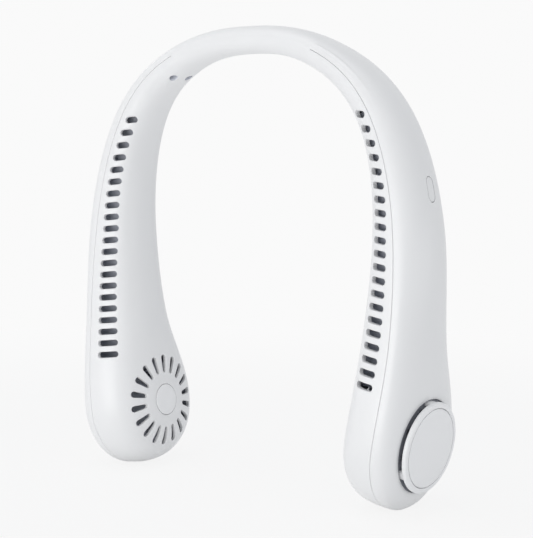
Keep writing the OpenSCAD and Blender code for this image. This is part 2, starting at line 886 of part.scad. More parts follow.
module power_button() {
    stem_to = board_top + switch_h + plunger_h + button_travel + 4 * rest_gap;
    color(white) at_arm(button_s, 0, button_y) {
        translate([0, 0, button_top - button_t])
            pill(button_len, button_w, button_t, 2 * coarse);
        translate([0, 0, button_top - button_t - flange_t])
            pill(button_len + 2 * flange_out, button_w + 2 * flange_out, flange_t, 2 * coarse);
        translate([0, 0, stem_to])
            cylinder(h = button_top - button_t - stem_to, r = stem_r, $fn = fine);
    }
}

// The soft sleeve, the spring strip and the ribbon of the band
sleeve_rows = 14;
sleeve_cols = 16;

module neckband_sleeve() {
    n = sleeve_rows + 1;
    m = sleeve_cols;
    pts = [for (inset = [0, sleeve_wall], i = [0:sleeve_rows], j = [0:m - 1])
        skin(mix(-sleeve_half, sleeve_half, i / sleeve_rows), 360 * j / m, inset)];
    b = n * m;
    last = sleeve_rows * m;
    color(soft_white) polyhedron(points = pts, faces = concat(
        [for (i = [0:sleeve_rows - 1], j = [0:m - 1], k = [0, 1])
            let (p = i * m + j, q = i * m + (j + 1) % m) k == 0 ? [p, q + m, q] : [p, p + m, q + m]],
        [for (i = [0:sleeve_rows - 1], j = [0:m - 1], k = [0, 1])
            let (p = b + i * m + j, q = b + i * m + (j + 1) % m) k == 0 ? [p, q, q + m] : [p, q + m, p + m]],
        [for (j = [0:m - 1], k = [0, 1])
            let (q = (j + 1) % m) k == 0 ? [q, b + j, j] : [q, b + q, b + j]],
        [for (j = [0:m - 1], k = [0, 1])
            let (p = last + j, q = last + (j + 1) % m) k == 0 ? [p, b + q, q] : [p, b + p, b + q]]));
}

// A thin band that follows the line at height n, between two lengths
module line_band(from, to, n, t, w, steps) {
    rows = [for (i = [0:steps]) mix(from, to, i / steps)];
    low = [for (s = rows) place(s, n - t / 2, 0)];
    top = [for (i = [steps:-1:0]) place(rows[i], n + t / 2, 0)];
    rotate([90, 0, 0])
        linear_extrude(w, center = true)
            polygon([for (p = concat(low, top)) [p[0], p[2]]]);
}

strip_w = 10;
strip_y = mid_y(sleeve_half) / 2;
strip_end = screw_s + 5;
strip_inset = 0.7;
strip_slack = 0.09;
tab_w = screw_gap + 2 * (boss_r - strip_inset);
line_fine = 36;

module spring_strip() {
    color(steel) difference() {
        union() {
            translate([0, strip_y, 0])
                line_band(-strip_end, strip_end, 0, strip_t - 2 * strip_slack, strip_w, 2 * line_fine);
            for (side = [-1, 1])
                translate([0, screw_y, 0])
                    line_band(side * (screw_s - 4), side * strip_end, 0, strip_t - 2 * strip_slack, tab_w, 6);
        }
        for (k = [0, 1])
            mirror([k, 0, 0])
                at_screws()
                    translate([0, 0, -over])
                        cylinder(h = 2 * over, r = screw_r + hole_clear, $fn = fine);
    }
}

ribbon_w = 3.2;
ribbon_y = back_y + ribbon_w / 2 + fit;
ribbon_t = 0.8;
ribbon_n = 2.2;
ribbon_end = board_from - over;

module band_ribbon() {
    color(magnet) translate([0, ribbon_y, 0])
        line_band(-ribbon_end, ribbon_end, ribbon_n, ribbon_t, ribbon_w, 2 * line_fine);
}

module screws() {
    color(steel) at_screws() {
        difference() {
            translate([0, 0, head_n - head_t])
                cylinder(h = head_t, r = head_r, $fn = fine);
            for (a = [0, 90])
                rotate(a)
                    translate([-head_r * 0.6, -head_r / 8, head_n - head_t - over])
                        cube([head_r * 1.2, head_r / 4, over + head_t / 2]);
        }
        translate([0, 0, head_n - touch])
            cylinder(h = screw_len, r = screw_r, $fn = fine);
    }
}

neckband_sleeve();
spring_strip();
band_ribbon();
color(white) left_side() inner_shell();  // left_inner_shell
color(white) inner_shell();  // right_inner_shell
left_outer_shell();
right_outer_shell();
left_side() inlet_cap();  // left_inlet_cap
inlet_cap();  // right_inlet_cap
left_side() hub_disc();  // left_hub_disc
hub_disc();  // right_hub_disc
left_side() duct_divider();  // left_duct_divider
duct_divider();  // right_duct_divider
left_side() scroll();  // left_scroll
scroll();  // right_scroll
left_side() impeller();  // left_impeller
impeller();  // right_impeller
left_side() rotor_cup();  // left_rotor_cup
rotor_cup();  // right_rotor_cup
left_side() magnet_ring();  // left_magnet_ring
magnet_ring();  // right_magnet_ring
left_side() stator();  // left_stator
stator();  // right_stator
left_side() motor_base();  // left_motor_base
motor_base();  // right_motor_base
left_side() shaft();  // left_shaft
shaft();  // right_shaft
left_side() bearings();  // left_bearings
bearings();  // right_bearings
left_side() cell();  // left_cell
cell();  // right_cell
left_side() screws();  // left_screws
screws();  // right_screws
charge_board();
usb_socket();
main_board();
tact_switch();
power_button();
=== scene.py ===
"""Looks for the electric neck fan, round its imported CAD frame. Shapes are in millimetres."""

import math

import bmesh
import bpy
import numpy as np
from mathutils import Matrix, Vector
from mathutils.geometry import delaunay_2d_cdt


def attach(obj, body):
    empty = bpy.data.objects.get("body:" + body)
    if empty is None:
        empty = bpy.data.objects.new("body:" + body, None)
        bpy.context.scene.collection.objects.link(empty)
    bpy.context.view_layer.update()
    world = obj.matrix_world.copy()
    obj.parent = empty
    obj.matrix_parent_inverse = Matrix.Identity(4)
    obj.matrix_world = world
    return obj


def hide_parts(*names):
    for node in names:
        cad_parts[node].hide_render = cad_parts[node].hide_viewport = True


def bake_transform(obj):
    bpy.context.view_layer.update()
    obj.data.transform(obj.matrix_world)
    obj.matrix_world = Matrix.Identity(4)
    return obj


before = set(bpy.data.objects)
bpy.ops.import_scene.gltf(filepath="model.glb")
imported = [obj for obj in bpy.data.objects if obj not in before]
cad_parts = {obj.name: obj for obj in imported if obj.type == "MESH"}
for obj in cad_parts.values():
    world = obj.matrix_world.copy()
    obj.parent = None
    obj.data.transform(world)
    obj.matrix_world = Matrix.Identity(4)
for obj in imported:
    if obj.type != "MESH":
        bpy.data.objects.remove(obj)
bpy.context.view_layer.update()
MM = 0.001

# ---- The arm: its middle line turns down from the band to the round end, the lobe. s is the
# length along that line and n the height off it, outward from the neck. The lists hold values
# from the band to the lobe, at even steps, as the part's source has them.
ARM_LEN = 248.0
TURNS = np.radians([0, 26.5, 64, 82.5, 91, 97.5, 98])
DEPTHS = [16, 20, 26, 31.5, 40.5, 59]
INNERS = [6, 8, 10.5, 15, 19.5, 21.5]
OUTERS = [6, 6, 9.5, 10.5, 8.5, 10]
FRONTS = [8, 8.5, 9, 10.5, 13.5, 18]
CREST = 0.58
SQ_SLOTS, SQ_FRONT, SQ_BACK, SQ_LOBE = 2.75, 2.1, 3.2, 2.8
WALL = 1.5
LOBE_R = DEPTHS[-1] / 2
LOBE_S = ARM_LEN - LOBE_R
LOBE_MID = DEPTHS[-1] / 2 - FRONTS[-1]
INNER_LOBE, OUTER_LOBE = INNERS[-1], OUTERS[-1]
SLEEVE_HALF, SLEEVE_WALL = 38.5, 1.8
# steps of the line, and the step from which its height can be looked up, because it falls
LINE_N, FALLS_FROM = 2400, 60

# ---- Joint lines, edges and grids of the shells
GROOVE, EDGE_R = 0.14, 0.22
ROUND = 4
ROW_COUNT, COLUMN_COUNT = 118, 72
# millimetres in a skin's chart for a radian of its section
ANGLE_SCALE = math.degrees(1) * 0.4
HOLE_CLEAR = 0.5
# slots of a shell's colours: the lining, and the dark colour with painted shade for the well and
# the rib
LINING, WELL_SHADE_SLOT = 1, 2
# the radius that each kind of hole is rounded by
MOUTH = dict(slot=0.4, hub=0.12, screw=0.25, dish=0.35, button=0.15, port=0.3)
# points round each kind of circle, and round a pill's ends
RING = dict(hub=64, screw=32, rib=96, dish=128, well=48, cap=128, disc=96)
PILL = dict(button=20, port=16, post=8)
RIDGE = dict(angle=0.43, spread=0.055, high=0.42, rise=(38.4, 39.2), fade=(44.0, 82.0))

# ---- Air slots. Pairs are values at the top and at the bottom of the row, and -1 and 1 are the
# left and the right arm. The lean is in degrees.
SLOT_COUNT, SLOT_W = 21, 2.8
SLOT_START, SLOT_END = {-1: 28.7, 1: 27.5}, 138.4
SLOT_COLLAR, COLLAR_WALL = 0.6, 0.5
PITCH_LOW = {-1: 5.33, 1: 5.39}
SLOT_SHIFT = {-1: (0.3, 0.05), 1: (-0.6, -0.15)}
SLOT_LEN = 6.0, 10.0
SLOT_OFF, OFF_DIP, DIP_SLOTS = (2.6, 4.8), 0.75, 9
SLOT_TILT = math.radians(6)
SLOT_LEAN = 18.0, 8.0

# ---- The round end: grille, hub disc, inlet cap with its well and posts. FORM is the cap as
# shown, a little smaller than the CAD's and further back. A radial slot is given by its two ends
# and its width at each.
GRILLE = dict(count=18, slot=(12.9, 21.4, 1.9, 2.95), turn=math.radians(16))
HUB_R, HUB_T, HUB_LINE, HUB_EDGE = 7.2, 1.2, 0.3, 0.15
HUB_FLOOR = HUB_T - INNER_LOBE
RIB = dict(r=23.1, wide=0.7, high=3.0, sunk=0.1)
CAP_R, CAP_T, CAP_STAND = 20.0, 1.8, 2.0
FORM_R, FORM_SHIFT = 19.7, 0.3
CAP_GROOVE_R, CAP_GROOVE = 17.2, dict(half=0.2, lip=0.08, deep=1.2)
CAP_EDGE, CAP_LOW_EDGE = 1.1, 0.25
CAP_LEAN, CAP_SHIFT = math.radians(2.75), 0.9
INTAKE_GAP, DISH_SLOPE = 1.45, math.tan(math.radians(12))
DISH_R, DISH_DEPTH = CAP_R + 0.2, 3.0
DISH_REACH, DISH_FADE, DISH_SOFT, DISH_SPAN = 12, 6, 0.7, 45
FLOOR_N = OUTER_LOBE - DISH_DEPTH
CAP_N = OUTER_LOBE + CAP_STAND - CAP_T
RIM_N = CAP_N - INTAKE_GAP
WELL_Y = CAP_SHIFT - RIM_N * math.sin(CAP_LEAN)
INLETS = dict(count=9, slot=(9.6, 17.18, 1.5, 3.0))
WELL_RINGS = (3.0, 6.0, 8.6, 18.6)
POST_COUNT, POST_W, POST_T, POST_TURN = 3, 4.4, 2.2, math.radians(183)
POST_AT, POST_IN, POST_CLEAR = CAP_R - 0.4 - POST_T / 2, 0.6, 0.02

# ---- Divider, screws, band, button and charging port
TAIL = dict(s=(193.4, 196.4), n=(-17.6, 6.4), y=(-2.0, -1.0))
SCREW_S = SLEEVE_HALF + 6
SCREW_GAP, SCREW_SKEW, RECESS_R = 8.6, 2.0, 1.9
# how far off the middle they sit: half the depth there, divided by this
SCREW_OFF, BUTTON_OFF = 20, 8
SCREW_RINGS = ((RECESS_R, -3.6), (1.1, -3.6), (1.1, -0.5), (2.5, -0.5))
STRIP = dict(y=0.628, w=10.0, t=0.62, tab_y=1.035, tab_w=12.2, tab=(40.5, 49.5), corner=0.6,
             bore=1.1, clear=0.3)
RIBBON = dict(y=0.95, n=2.2, wire=0.8, wires=4, end=84.5)
SEAM_LIP, LIP_RUN = 0.02, 12
BUTTON_S, BUTTON_LEN, BUTTON_W = 113.5, 10.4, 4.8
BUTTON_GAP, BUTTON_ROUND, BUTTON_LOW = 0.34, 0.2, 0.05
BUTTON_FLANGE = ((0, 2.4), (0.8, 2.4), (0.8, 3.2), (-2.3, 3.2))
PORT_S, PORT_N, PORT_LEN, PORT_W, PORT_GAP = BUTTON_S - 9, 3.83, 9.0, 3.2, 0.25

SIDES = ((-1, "left"), (1, "right"))
SHARP = math.radians(38)


def curve(values, share):
    """The smooth curve through a list's values, at a share of its length."""
    v = np.asarray(values, float)
    last = len(v) - 1
    x = np.clip(share, 0, 1) * last
    i = np.minimum(x.astype(int), last - 1)
    t = x - i
    p0, p1, p2 = v[np.where(i == 0, 1, i - 1)], v[i], v[i + 1]
    p3 = v[np.where(i + 2 > last, last - 1, i + 2)]
    return (2 * p1 + (p2 - p0) * t + (2 * p0 - 5 * p1 + 4 * p2 - p3) * t ** 2
            + (3 * p1 - p0 - 3 * p2 + p3) * t ** 3) / 2


def between(pair, share):
    return pair[0] + (pair[1] - pair[0]) * share


def smooth_step(v, low, high):
    t = np.clip((np.asarray(v, float) - low) / (high - low), 0, 1)
    return t * t * (3 - 2 * t)


def heading(s):
    """How far the middle line has turned down at length s."""
    return curve(TURNS, np.abs(s) / ARM_LEN)


def middle_line():
    """Lengths along the middle line, and its x and z there."""
    along = np.linspace(0, ARM_LEN, LINE_N + 1)
    turns, step = heading((along[1:] + along[:-1]) / 2), ARM_LEN / LINE_N
    x = np.concatenate([[0], np.cumsum(np.cos(turns)) * step])
    z = np.concatenate([[0], -np.cumsum(np.sin(turns)) * step]) + INNERS[0]
    return along, x, z


LINE_S, LINE_X, LINE_Z = middle_line()


def place(s, n, y):
    """Part-frame points in mm from length along the line, height off it and y."""
    s, n, y = np.broadcast_arrays(np.asarray(s, float), n, y)
    q, h = np.abs(s), heading(s)
    x = np.where(s < 0, -1, 1) * (np.interp(q, LINE_S, LINE_X) + n * np.sin(h))
    return np.stack([x, y, np.interp(q, LINE_S, LINE_Z) + n * np.cos(h)], -1)


def from_xz(x, z):
    """Length along the line and height off it for points of the right arm."""
    x, z = np.asarray(x, float), np.asarray(z, float)
    s = np.interp(-z, -LINE_Z[FALLS_FROM:], LINE_S[FALLS_FROM:])
    n = np.zeros_like(s)
    for _ in range(10):
        h = heading(s)
        turn = heading(s + 0.5) - heading(s - 0.5)
        dx = x - np.interp(s, LINE_S, LINE_X) - n * np.sin(h)
        dz = z - np.interp(s, LINE_S, LINE_Z) - n * np.cos(h)
        s = s + (dx * np.cos(h) - dz * np.sin(h)) / (1 + n * turn)
        n = n + dx * np.sin(h) + dz * np.cos(h)
    return s, n


class Skin:
    """One half of the section: the side inside or outside the joint line, inset by a wall. lip is
    how far its edges stay off the joint line."""

    def __init__(self, out, inset=0.0, lip=0.0):
        self.out, self.inset, self.lip = out, inset, lip

    def parts(self, s):
        """The section's measures at length s: its crest, reach, height and squareness."""
        q = np.abs(np.asarray(s, float))
        share = np.clip(q / LOBE_S, 0, 1)
        even = share ** 3
        depth = curve(DEPTHS, share)
        thick = curve(OUTERS if self.out else INNERS, share) - self.inset
        mid = depth / 2 - curve(FRONTS, share)
        crest = CREST + (0.5 - CREST) * even
        past = np.clip((q - LOBE_S) / (LOBE_R - self.inset), 0, 1)
        left = np.sqrt(1 - past ** 2)
        tall = (1 - past ** SQ_LOBE) ** (1 / SQ_LOBE)
        centre = mid + (crest - 0.5) * depth * left
        front = np.maximum((crest * depth - self.inset) * left, 1e-9)
        back = np.maximum(((1 - crest) * depth - self.inset) * left, 1e-9)
        e_front = SQ_FRONT if self.out else SQ_SLOTS
        return dict(centre=centre, front=front, back=back, mid=mid, half=depth / 2, left=left,
                    high=np.maximum(thick * tall, 1e-9), k=1 - self.lip / thick,
                    e_front=e_front + (SQ_LOBE - e_front) * even,
                    e_back=SQ_BACK + (SQ_LOBE - SQ_BACK) * even)

    def reach(self, p, y):
        """How far y is on its way to the edge, the squareness there, and if it is in front."""
        ahead = y < p["centre"]
        way = np.abs(y - p["centre"]) / np.where(ahead, p["front"], p["back"])
        return np.minimum(way, 1), np.where(ahead, p["e_front"], p["e_back"]), ahead

    def at(self, s, b):
        """Points at section angle b: 0 is the front edge, half a turn the back edge."""
        p = self.parts(s)
        ahead = b <= math.pi / 2
        e = np.where(ahead, p["e_front"], p["e_back"])
        c = np.abs(np.cos(b)) ** (2 / e)
        h = np.abs(np.sin(b)) ** (2 / e)
        y = p["centre"] + np.where(ahead, -p["front"] * c, p["back"] * c)
        up = self.ridge(s, b)
        n = self.lip + p["high"] * p["k"] * h + up * np.sin(b)
        return self.dished(s, n, y), y - up * np.cos(b)

    def ridge(self, s, b):
        """The soft ridge that runs down from the sleeve beside the front joint line."""
        if not self.out or self.inset:
            return 0.0
        up = RIDGE["high"] * np.exp(-((b - RIDGE["angle"]) / RIDGE["spread"]) ** 2 / 2)
        return up * smooth_step(s, *RIDGE["rise"]) * (1 - smooth_step(s, *RIDGE["fade"]))

    def dished(self, s, n, y):
        """The outer skin of the outer shell falls softly to the gap under the cap, which leans."""
        if not self.out or self.inset:
            return n
        across = y - LOBE_MID - CAP_SHIFT
        r = np.hypot(np.abs(s) - LOBE_S, across * math.cos(CAP_LEAN) + n * math.sin(CAP_LEAN))
        cone = RIM_N + (r - DISH_R) * DISH_SLOPE
        cone = (cone + across * math.sin(CAP_LEAN)) / math.cos(CAP_LEAN)
        near = np.clip((DISH_R + DISH_REACH - r) / DISH_FADE, 0, 1)
        return n + near * near * (3 - 2 * near) * ((cone - n) - np.hypot(cone - n, DISH_SOFT)) / 2

    def height(self, s, y):
        return self.dished(s, self.plain_height(s, y), y)

    def plain_height(self, s, y):
        """Height off the middle line at y, without the fall to the cap's gap."""
        p = self.parts(s)
        v, e, _ = self.reach(p, y)
        return self.lip + p["high"] * p["k"] * (1 - v ** e) ** (1 / e)

    def edge(self, s, n, back):
        """The y of the front or back edge at height n."""
        p = self.parts(s)
        e = p["e_back"] if back else p["e_front"]
        v = np.clip((n - self.lip) / p["k"] / p["high"], 0, 1)
        v = (1 - v ** e) ** (1 / e)
        return p["centre"] + (p["back"] * v if back else -p["front"] * v)

    def angle(self, s, n, y):
        """The section angle of a point, the reverse of at."""
        p = self.parts(s)
        if self.out:
            n = np.where(np.abs(s) > LOBE_S - DISH_SPAN, self.plain_height(s, y), n)
        v, e, ahead = self.reach(p, y)
        h = np.clip((n - self.lip) / p["k"] / p["high"], 0, 1)
        b = np.arctan2(h ** (e / 2), v ** (e / 2))
        return np.where(ahead, b, math.pi - b)

    def sign(self):
        return 1 if self.out else -1


# ---- Outlines in a plane, as rings that can be moved outward by d
def joined(arcs, straight):
    """Rings of arcs joined by straight lines of a few points each."""
    xs, ys = [], []
    for k, (x, y) in enumerate(arcs):
        nx, ny = arcs[(k + 1) % len(arcs)]
        t = np.arange(1, straight + 1) / (straight + 1)
        xs += [x, x[-1] + (nx[0] - x[-1]) * t]
        ys += [y, y[-1] + (ny[0] - y[-1]) * t]
    return np.concatenate(xs), np.concatenate(ys)


def turned(x, y, turn):
    c, s = math.cos(turn), math.sin(turn)
    return x * c - y * s, x * s + y * c


def pill_ring(length, width, d, count=12, straight=6, tilt=0.0):
    """A slot with round ends."""
    r, a = width / 2 + d, (length - width) / 2
    t = np.linspace(-math.pi / 2, math.pi / 2, count)
    x, y = r * np.cos(t), r * np.sin(t)
    return turned(*joined([(a + x, y), (-a - x, -y)], straight), tilt)


def taper_ring(r_in, r_out, w_in, w_out, d, turn, count=9, straight=6):
    """A radial slot with round ends that widens outward."""
    a, b = w_in / 2 + d, w_out / 2 + d
    x0, x1 = r_in + w_in / 2, r_out - w_out / 2
    lean = math.asin((b - a) / (x1 - x0))
    t0 = np.linspace(math.pi / 2 + lean, 3 * math.pi / 2 - lean, count)
    t1 = np.linspace(-math.pi / 2 - lean, math.pi / 2 + lean, count + 3)
    arcs = [(x0 + a * np.cos(t0), a * np.sin(t0)), (x1 + b * np.cos(t1), b * np.sin(t1))]
    return turned(*joined(arcs, straight), turn)


def circle_ring(r, count):
    t = np.linspace(0, 2 * math.pi, count, endpoint=False)
    return r * np.cos(t), r * np.sin(t)


def shifted(ring, y0):
    return ring[0], ring[1] + y0


def circle_at(r, count, y0):
    """The rings of a round hole in the middle of the arm, off by y0."""
    return lambda d: shifted(circle_ring(r + d, count), y0)


def rounding(r):
    """Steps over an edge rounded by r: how far in each is, and how far out it still stands."""
    turn = [math.pi / 2 * k / ROUND for k in range(ROUND + 1)]
    return [(r * (1 - math.cos(t)), r * (1 - math.sin(t))) for t in turn]


def inside(px, py, qx, qy):
    """Which of the points q lie in the polygon p."""
    hit = np.zeros(len(qx), bool)
    j = len(px) - 1
    for i in range(len(px)):
        cross = (py[i] > qy) != (py[j] > qy)
        slope = (px[j] - px[i]) / (py[j] - py[i] if py[j] != py[i] else 1e-12)
        hit ^= cross & (qx < slope * (qy - py[i]) + px[i])
        j = i
    return hit


class Hole:
    """A hole through a shell, cut along way, with a mouth rounded by round_r.

    spot(skin, d) gives its ring on a skin, moved outward by d, as s, n without sign, and y.
    through says that it opens in the inner skin too, there wider by inner_d. chain holds more
    rings behind the mouth, lined or not, end closes it, and deep is the length of a collar.
    """

    def __init__(self, spot, way, round_r, through=True, chain=(), end=None, inner_d=0.0,
                 lined=False, deep=0.0):
        self.spot, self.way, self.round_r = spot, np.asarray(way, float), round_r
        self.through, self.chain, self.end = through, chain, end
        self.inner_d, self.lined, self.deep = inner_d, lined, deep


def axes(s0):
    """The directions along the arm and outward from the neck at s0."""
    h = float(heading(np.array([s0]))[0])
    return np.array([math.cos(h), 0, -math.sin(h)]), np.array([math.sin(h), 0, math.cos(h)])


def upright(s0):
    return axes(s0)[1]


def arm_points(s0, x, y, n):
    """Points given along the arm from s0, across it and outward."""
    along, up = axes(s0)
    x, y, n = np.broadcast_arrays(np.asarray(x, float), y, n)
    across = np.array([0, 1, 0])
    return place(s0, 0, 0) + x[..., None] * along + y[..., None] * across + n[..., None] * up


def lobe_points(x, y, n):
    return arm_points(LOBE_S, x, np.asarray(y, float) + LOBE_MID, n)


def facing(s0, ring):
    """A ring in the plane square to the arm at s0, cut straight in along that height."""
    centre = place(s0, 0, 0)
    along = axes(s0)[0]

    def spot(skin, d):
        lx, y = ring(d)
        s = s0 + lx
        for _ in range(20):
            n = skin.height(s, y)
            p = place(s, skin.sign() * n, y) - centre
            s = s - (p @ along - lx)
        return s, skin.height(s, y), y
    return spot


def front_or_back(ring, back, lean=0.0, level=0.0):
    """A ring given in world x and z at one level of y, cut along y with a lean in x."""
    def spot(skin, d):
        x, z = ring(d)
        y = np.full(len(x), level)
        for _ in range(9 if lean else 1):
            s, n = from_xz(x + lean * (y - level), z)
            n = np.abs(n)
            y = skin.edge(s, n, back)
        return s, n, y
    return spot


class Build:
    """Collects the points and faces of one mesh."""

    def __init__(self):
        self.points, self.faces, self.mats, self.count = [], [], [], 0

    def add(self, pts):
        pts = np.asarray(pts, float).reshape(-1, 3)
        start = self.count
        self.points.append(pts)
        self.count += len(pts)
        return np.arange(start, start + len(pts))

    def face(self, ids, mat=0):
        self.faces.append([int(i) for i in ids])
        self.mats.append(mat)

    def strip(self, a, b, closed=True, mat=0):
        n = len(a)
        for i in range(n if closed else n - 1):
            j = (i + 1) % n
            self.face([a[i], a[j], b[j], b[i]], mat)

    def fan(self, ring, tip, mat=0, closed=True):
        n = len(ring)
        for i in range(n if closed else n - 1):
            self.face([ring[i], ring[(i + 1) % n], tip], mat)

    def sheet(self, u, v, ids, holes, mat=0):
        """Triangles over the chart points u, v, but not in the holes, given as places in u."""
        pts = [Vector((float(a), float(b))) for a, b in zip(u, v)]
        edges = [(int(h[i]), int(h[(i + 1) % len(h)])) for h in holes for i in range(len(h))]
        _, _, tris, origin, _, _ = delaunay_2d_cdt(pts, edges, [], 0, 1e-7, True)
        back = np.array([o[0] if o else -1 for o in origin])
        label = np.full(len(pts), -1)
        for k, h in enumerate(holes):
            label[h] = k
        tris = back[np.array(tris)]
        tris = tris[(tris >= 0).all(1)]
        own = label[tris]
        same = (own[:, 0] >= 0) & (own[:, 0] == own[:, 1]) & (own[:, 0] == own[:, 2])
        keep = ~same
        for i in np.flatnonzero(same):
            h = holes[own[i, 0]]
            cu, cv = u[tris[i]].mean(), v[tris[i]].mean()
            keep[i] = not inside(u[h], v[h], np.array([cu]), np.array([cv]))[0]
        area = ((u[tris[:, 1]] - u[tris[:, 0]]) * (v[tris[:, 2]] - v[tris[:, 0]])
                - (u[tris[:, 2]] - u[tris[:, 0]]) * (v[tris[:, 1]] - v[tris[:, 0]]))
        keep &= np.abs(area) > 1e-9
        for t in tris[keep]:
            self.face(ids[t], mat)

    def make(self, name, mats, mirror=1):
        """The finished piece, in metres; mirror -1 makes the left one of a right one."""
        pts = np.concatenate(self.points) * MM
        pts[:, 0] *= mirror
        mesh = bpy.data.meshes.new(name)
        mesh.from_pydata(pts.tolist(), [], self.faces)
        for m in mats:
            mesh.materials.append(m)
        mesh.polygons.foreach_set("material_index", self.mats)
        bm = bmesh.new()
        bm.from_mesh(mesh)
        bmesh.ops.remove_doubles(bm, verts=bm.verts, dist=1e-7)
        bmesh.ops.delete(bm, geom=[v for v in bm.verts if not v.link_faces], context="VERTS")
        bmesh.ops.recalc_face_normals(bm, faces=bm.faces)
        bm.to_mesh(mesh)
        bm.free()
        mesh.shade_smooth()
        mesh.set_sharp_from_angle(angle=SHARP)
        obj = bpy.data.objects.new(name, mesh)
        bpy.context.scene.collection.objects.link(obj)
        return obj


# ---- Materials
BROAD_SCALE, ROUGH_SHIFT, BUMP_DEPTH = 22.0, 0.05, 0.0002


def maker(tree):
    """The calls that make a tree's nodes, by the end of their kind's name, and link them."""
    return lambda kind: tree.nodes.new("ShaderNode" + kind), tree.links.new


def fresh(name):
    """A material without nodes, with the calls that make and link them."""
    m = bpy.data.materials.new(name)
    m.use_nodes = True
    m.node_tree.nodes.clear()
    return m, *maker(m.node_tree)


def give(node, **values):
    """Sets inputs of a node by name, with _ for a space."""
    for name, value in values.items():
        node.inputs[name.replace("_", " ")].default_value = value


def material(name, colour, rough, vary, bump, scale=900.0, metallic=0.0, speckle=0.0, lines=None):
    """Plastic or metal: broad shifts of colour and gloss, and a fine grain or turned lines."""
    m, new, link = fresh(name)
    out, bsdf = new("OutputMaterial"), new("BsdfPrincipled")
    coord, ramp = new("TexCoord"), new("ValToRGB")
    broad, fine = new("TexNoise"), new("TexNoise")
    give(broad, Scale=BROAD_SCALE, Detail=3.0)
    give(fine, Scale=scale, Detail=2.0)
    link(coord.outputs["Object"], broad.inputs["Vector"])
    link(coord.outputs["Object"], fine.inputs["Vector"])
    low, high = ramp.color_ramp.elements
    low.color = (*[max(0.0, c * (1 - vary)) for c in colour], 1)
    high.color = (*[min(1.0, c * (1 + vary)) for c in colour], 1)
    low.position, high.position = 0.3, 0.7
    link(broad.outputs["Fac"], ramp.inputs["Fac"])
    top = ramp.outputs["Color"]
    if speckle:
        mix = new("Mix")
        mix.data_type, mix.blend_type = "RGBA", "MULTIPLY"
        mix.inputs[0].default_value = speckle
        link(top, mix.inputs[6])
        link(fine.outputs["Color"], mix.inputs[7])
        top = mix.outputs[2]
    link(top, bsdf.inputs["Base Color"])
    span = new("MapRange")
    give(span, To_Min=max(0.02, rough - ROUGH_SHIFT), To_Max=min(1.0, rough + ROUGH_SHIFT))
    link(broad.outputs["Fac"], span.inputs["Value"])
    link(span.outputs["Result"], bsdf.inputs["Roughness"])
    height = fine.outputs["Fac"]
    if lines:
        wave = new("TexWave")
        wave.wave_type, wave.bands_direction = "BANDS", lines[0]
        give(wave, Scale=lines[1])
        link(coord.outputs["Object"], wave.inputs["Vector"])
        height = wave.outputs["Fac"]
    node = new("Bump")
    give(node, Strength=bump, Distance=BUMP_DEPTH)
    link(height, node.inputs["Height"])
    link(node.outputs["Normal"], bsdf.inputs["Normal"])
    give(bsdf, Metallic=metallic)
    link(bsdf.outputs["BSDF"], out.inputs["Surface"])
    return m


WHITE = dict(vary=0.006, scale=1500)
GREY = dict(vary=0.08, bump=0.1, scale=1200)
SHELL = material("shell_white", (0.855, 0.855, 0.857), 0.36, bump=0.05, **WHITE)
# Painted light: the cap and the hub disc are the shell's white plastic, made a little brighter to
# stand in for light on the cap
CAP_LIT_WHITE = material("cap_white", (0.9, 0.9, 0.903), 0.38, bump=0.05, **WHITE)
BUTTON = material("button_white", (0.855, 0.855, 0.857), 0.34, bump=0.04, **WHITE)
SOFT = material("soft_white", (0.853, 0.853, 0.855), 0.40, vary=0.008, bump=0.06, scale=1800)
LINER = material("duct_liner", (0.66, 0.68, 0.74), 0.55, **GREY)
# Painted shade: a dark grey with the shade of the gap under the cap painted in; the rib behind the
# grille takes it too
WELL_SHADE = material("well_painted_shade", (0.30, 0.31, 0.35), 0.5, **GREY)
DUCT = material("duct_slate", (0.58, 0.60, 0.66), 0.5, **GREY)
WHEEL = material("wheel_slate", (0.60, 0.62, 0.68), 0.42, vary=0.08, bump=0.08, scale=1200)
COPPER = material("motor_copper", (0.50, 0.22, 0.09), 0.35, vary=0.15, bump=0.5, metallic=0.8,
                  lines=("Z", 900.0))
STEEL = material("motor_steel", (0.52, 0.53, 0.55), 0.3, vary=0.05, bump=0.1, metallic=1.0,
                 lines=("Z", 1500.0))
SPRING = material("spring_steel", (0.50, 0.51, 0.53), 0.34, vary=0.05, bump=0.1, metallic=1.0,
                  lines=("Y", 1500.0))
SCREW = material("screw_steel", (0.08, 0.08, 0.09), 0.4, vary=0.1, bump=0.1, metallic=0.9)
BRONZE = material("bearing_bronze", (0.45, 0.30, 0.14), 0.45, vary=0.1, bump=0.2, metallic=0.9,
                  speckle=0.3)
MAGNET = material("magnet_dark", (0.06, 0.06, 0.065), 0.5, vary=0.15, bump=0.2, speckle=0.3)
CABLE = material("cable_black", (0.02, 0.02, 0.022), 0.45, vary=0.1, bump=0.1)
FOIL = material("cell_foil", (0.42, 0.45, 0.50), 0.38, vary=0.08, bump=0.35, scale=260,
                metallic=0.85)
BOARD = material("board_green", (0.012, 0.11, 0.05), 0.4, vary=0.2, bump=0.2, scale=300,
                 speckle=0.3)

# The CAD nodes that stay, by name or by name without the side
LOOKS = {
    "duct_divider": DUCT, "scroll": DUCT, "impeller": WHEEL, "motor_base": DUCT,
    "rotor_cup": STEEL, "shaft": STEEL, "usb_socket": STEEL, "magnet_ring": MAGNET,
    "stator": COPPER, "bearings": BRONZE, "cell": FOIL, "screws": SCREW,
    "charge_board": BOARD, "main_board": BOARD, "tact_switch": CABLE,
}


def dress_nodes():
    for name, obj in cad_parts.items():
        look = LOOKS.get(name) or LOOKS.get(name.split("_", 1)[1])
        if look:
            obj.data.materials.clear()
            obj.data.materials.append(look)


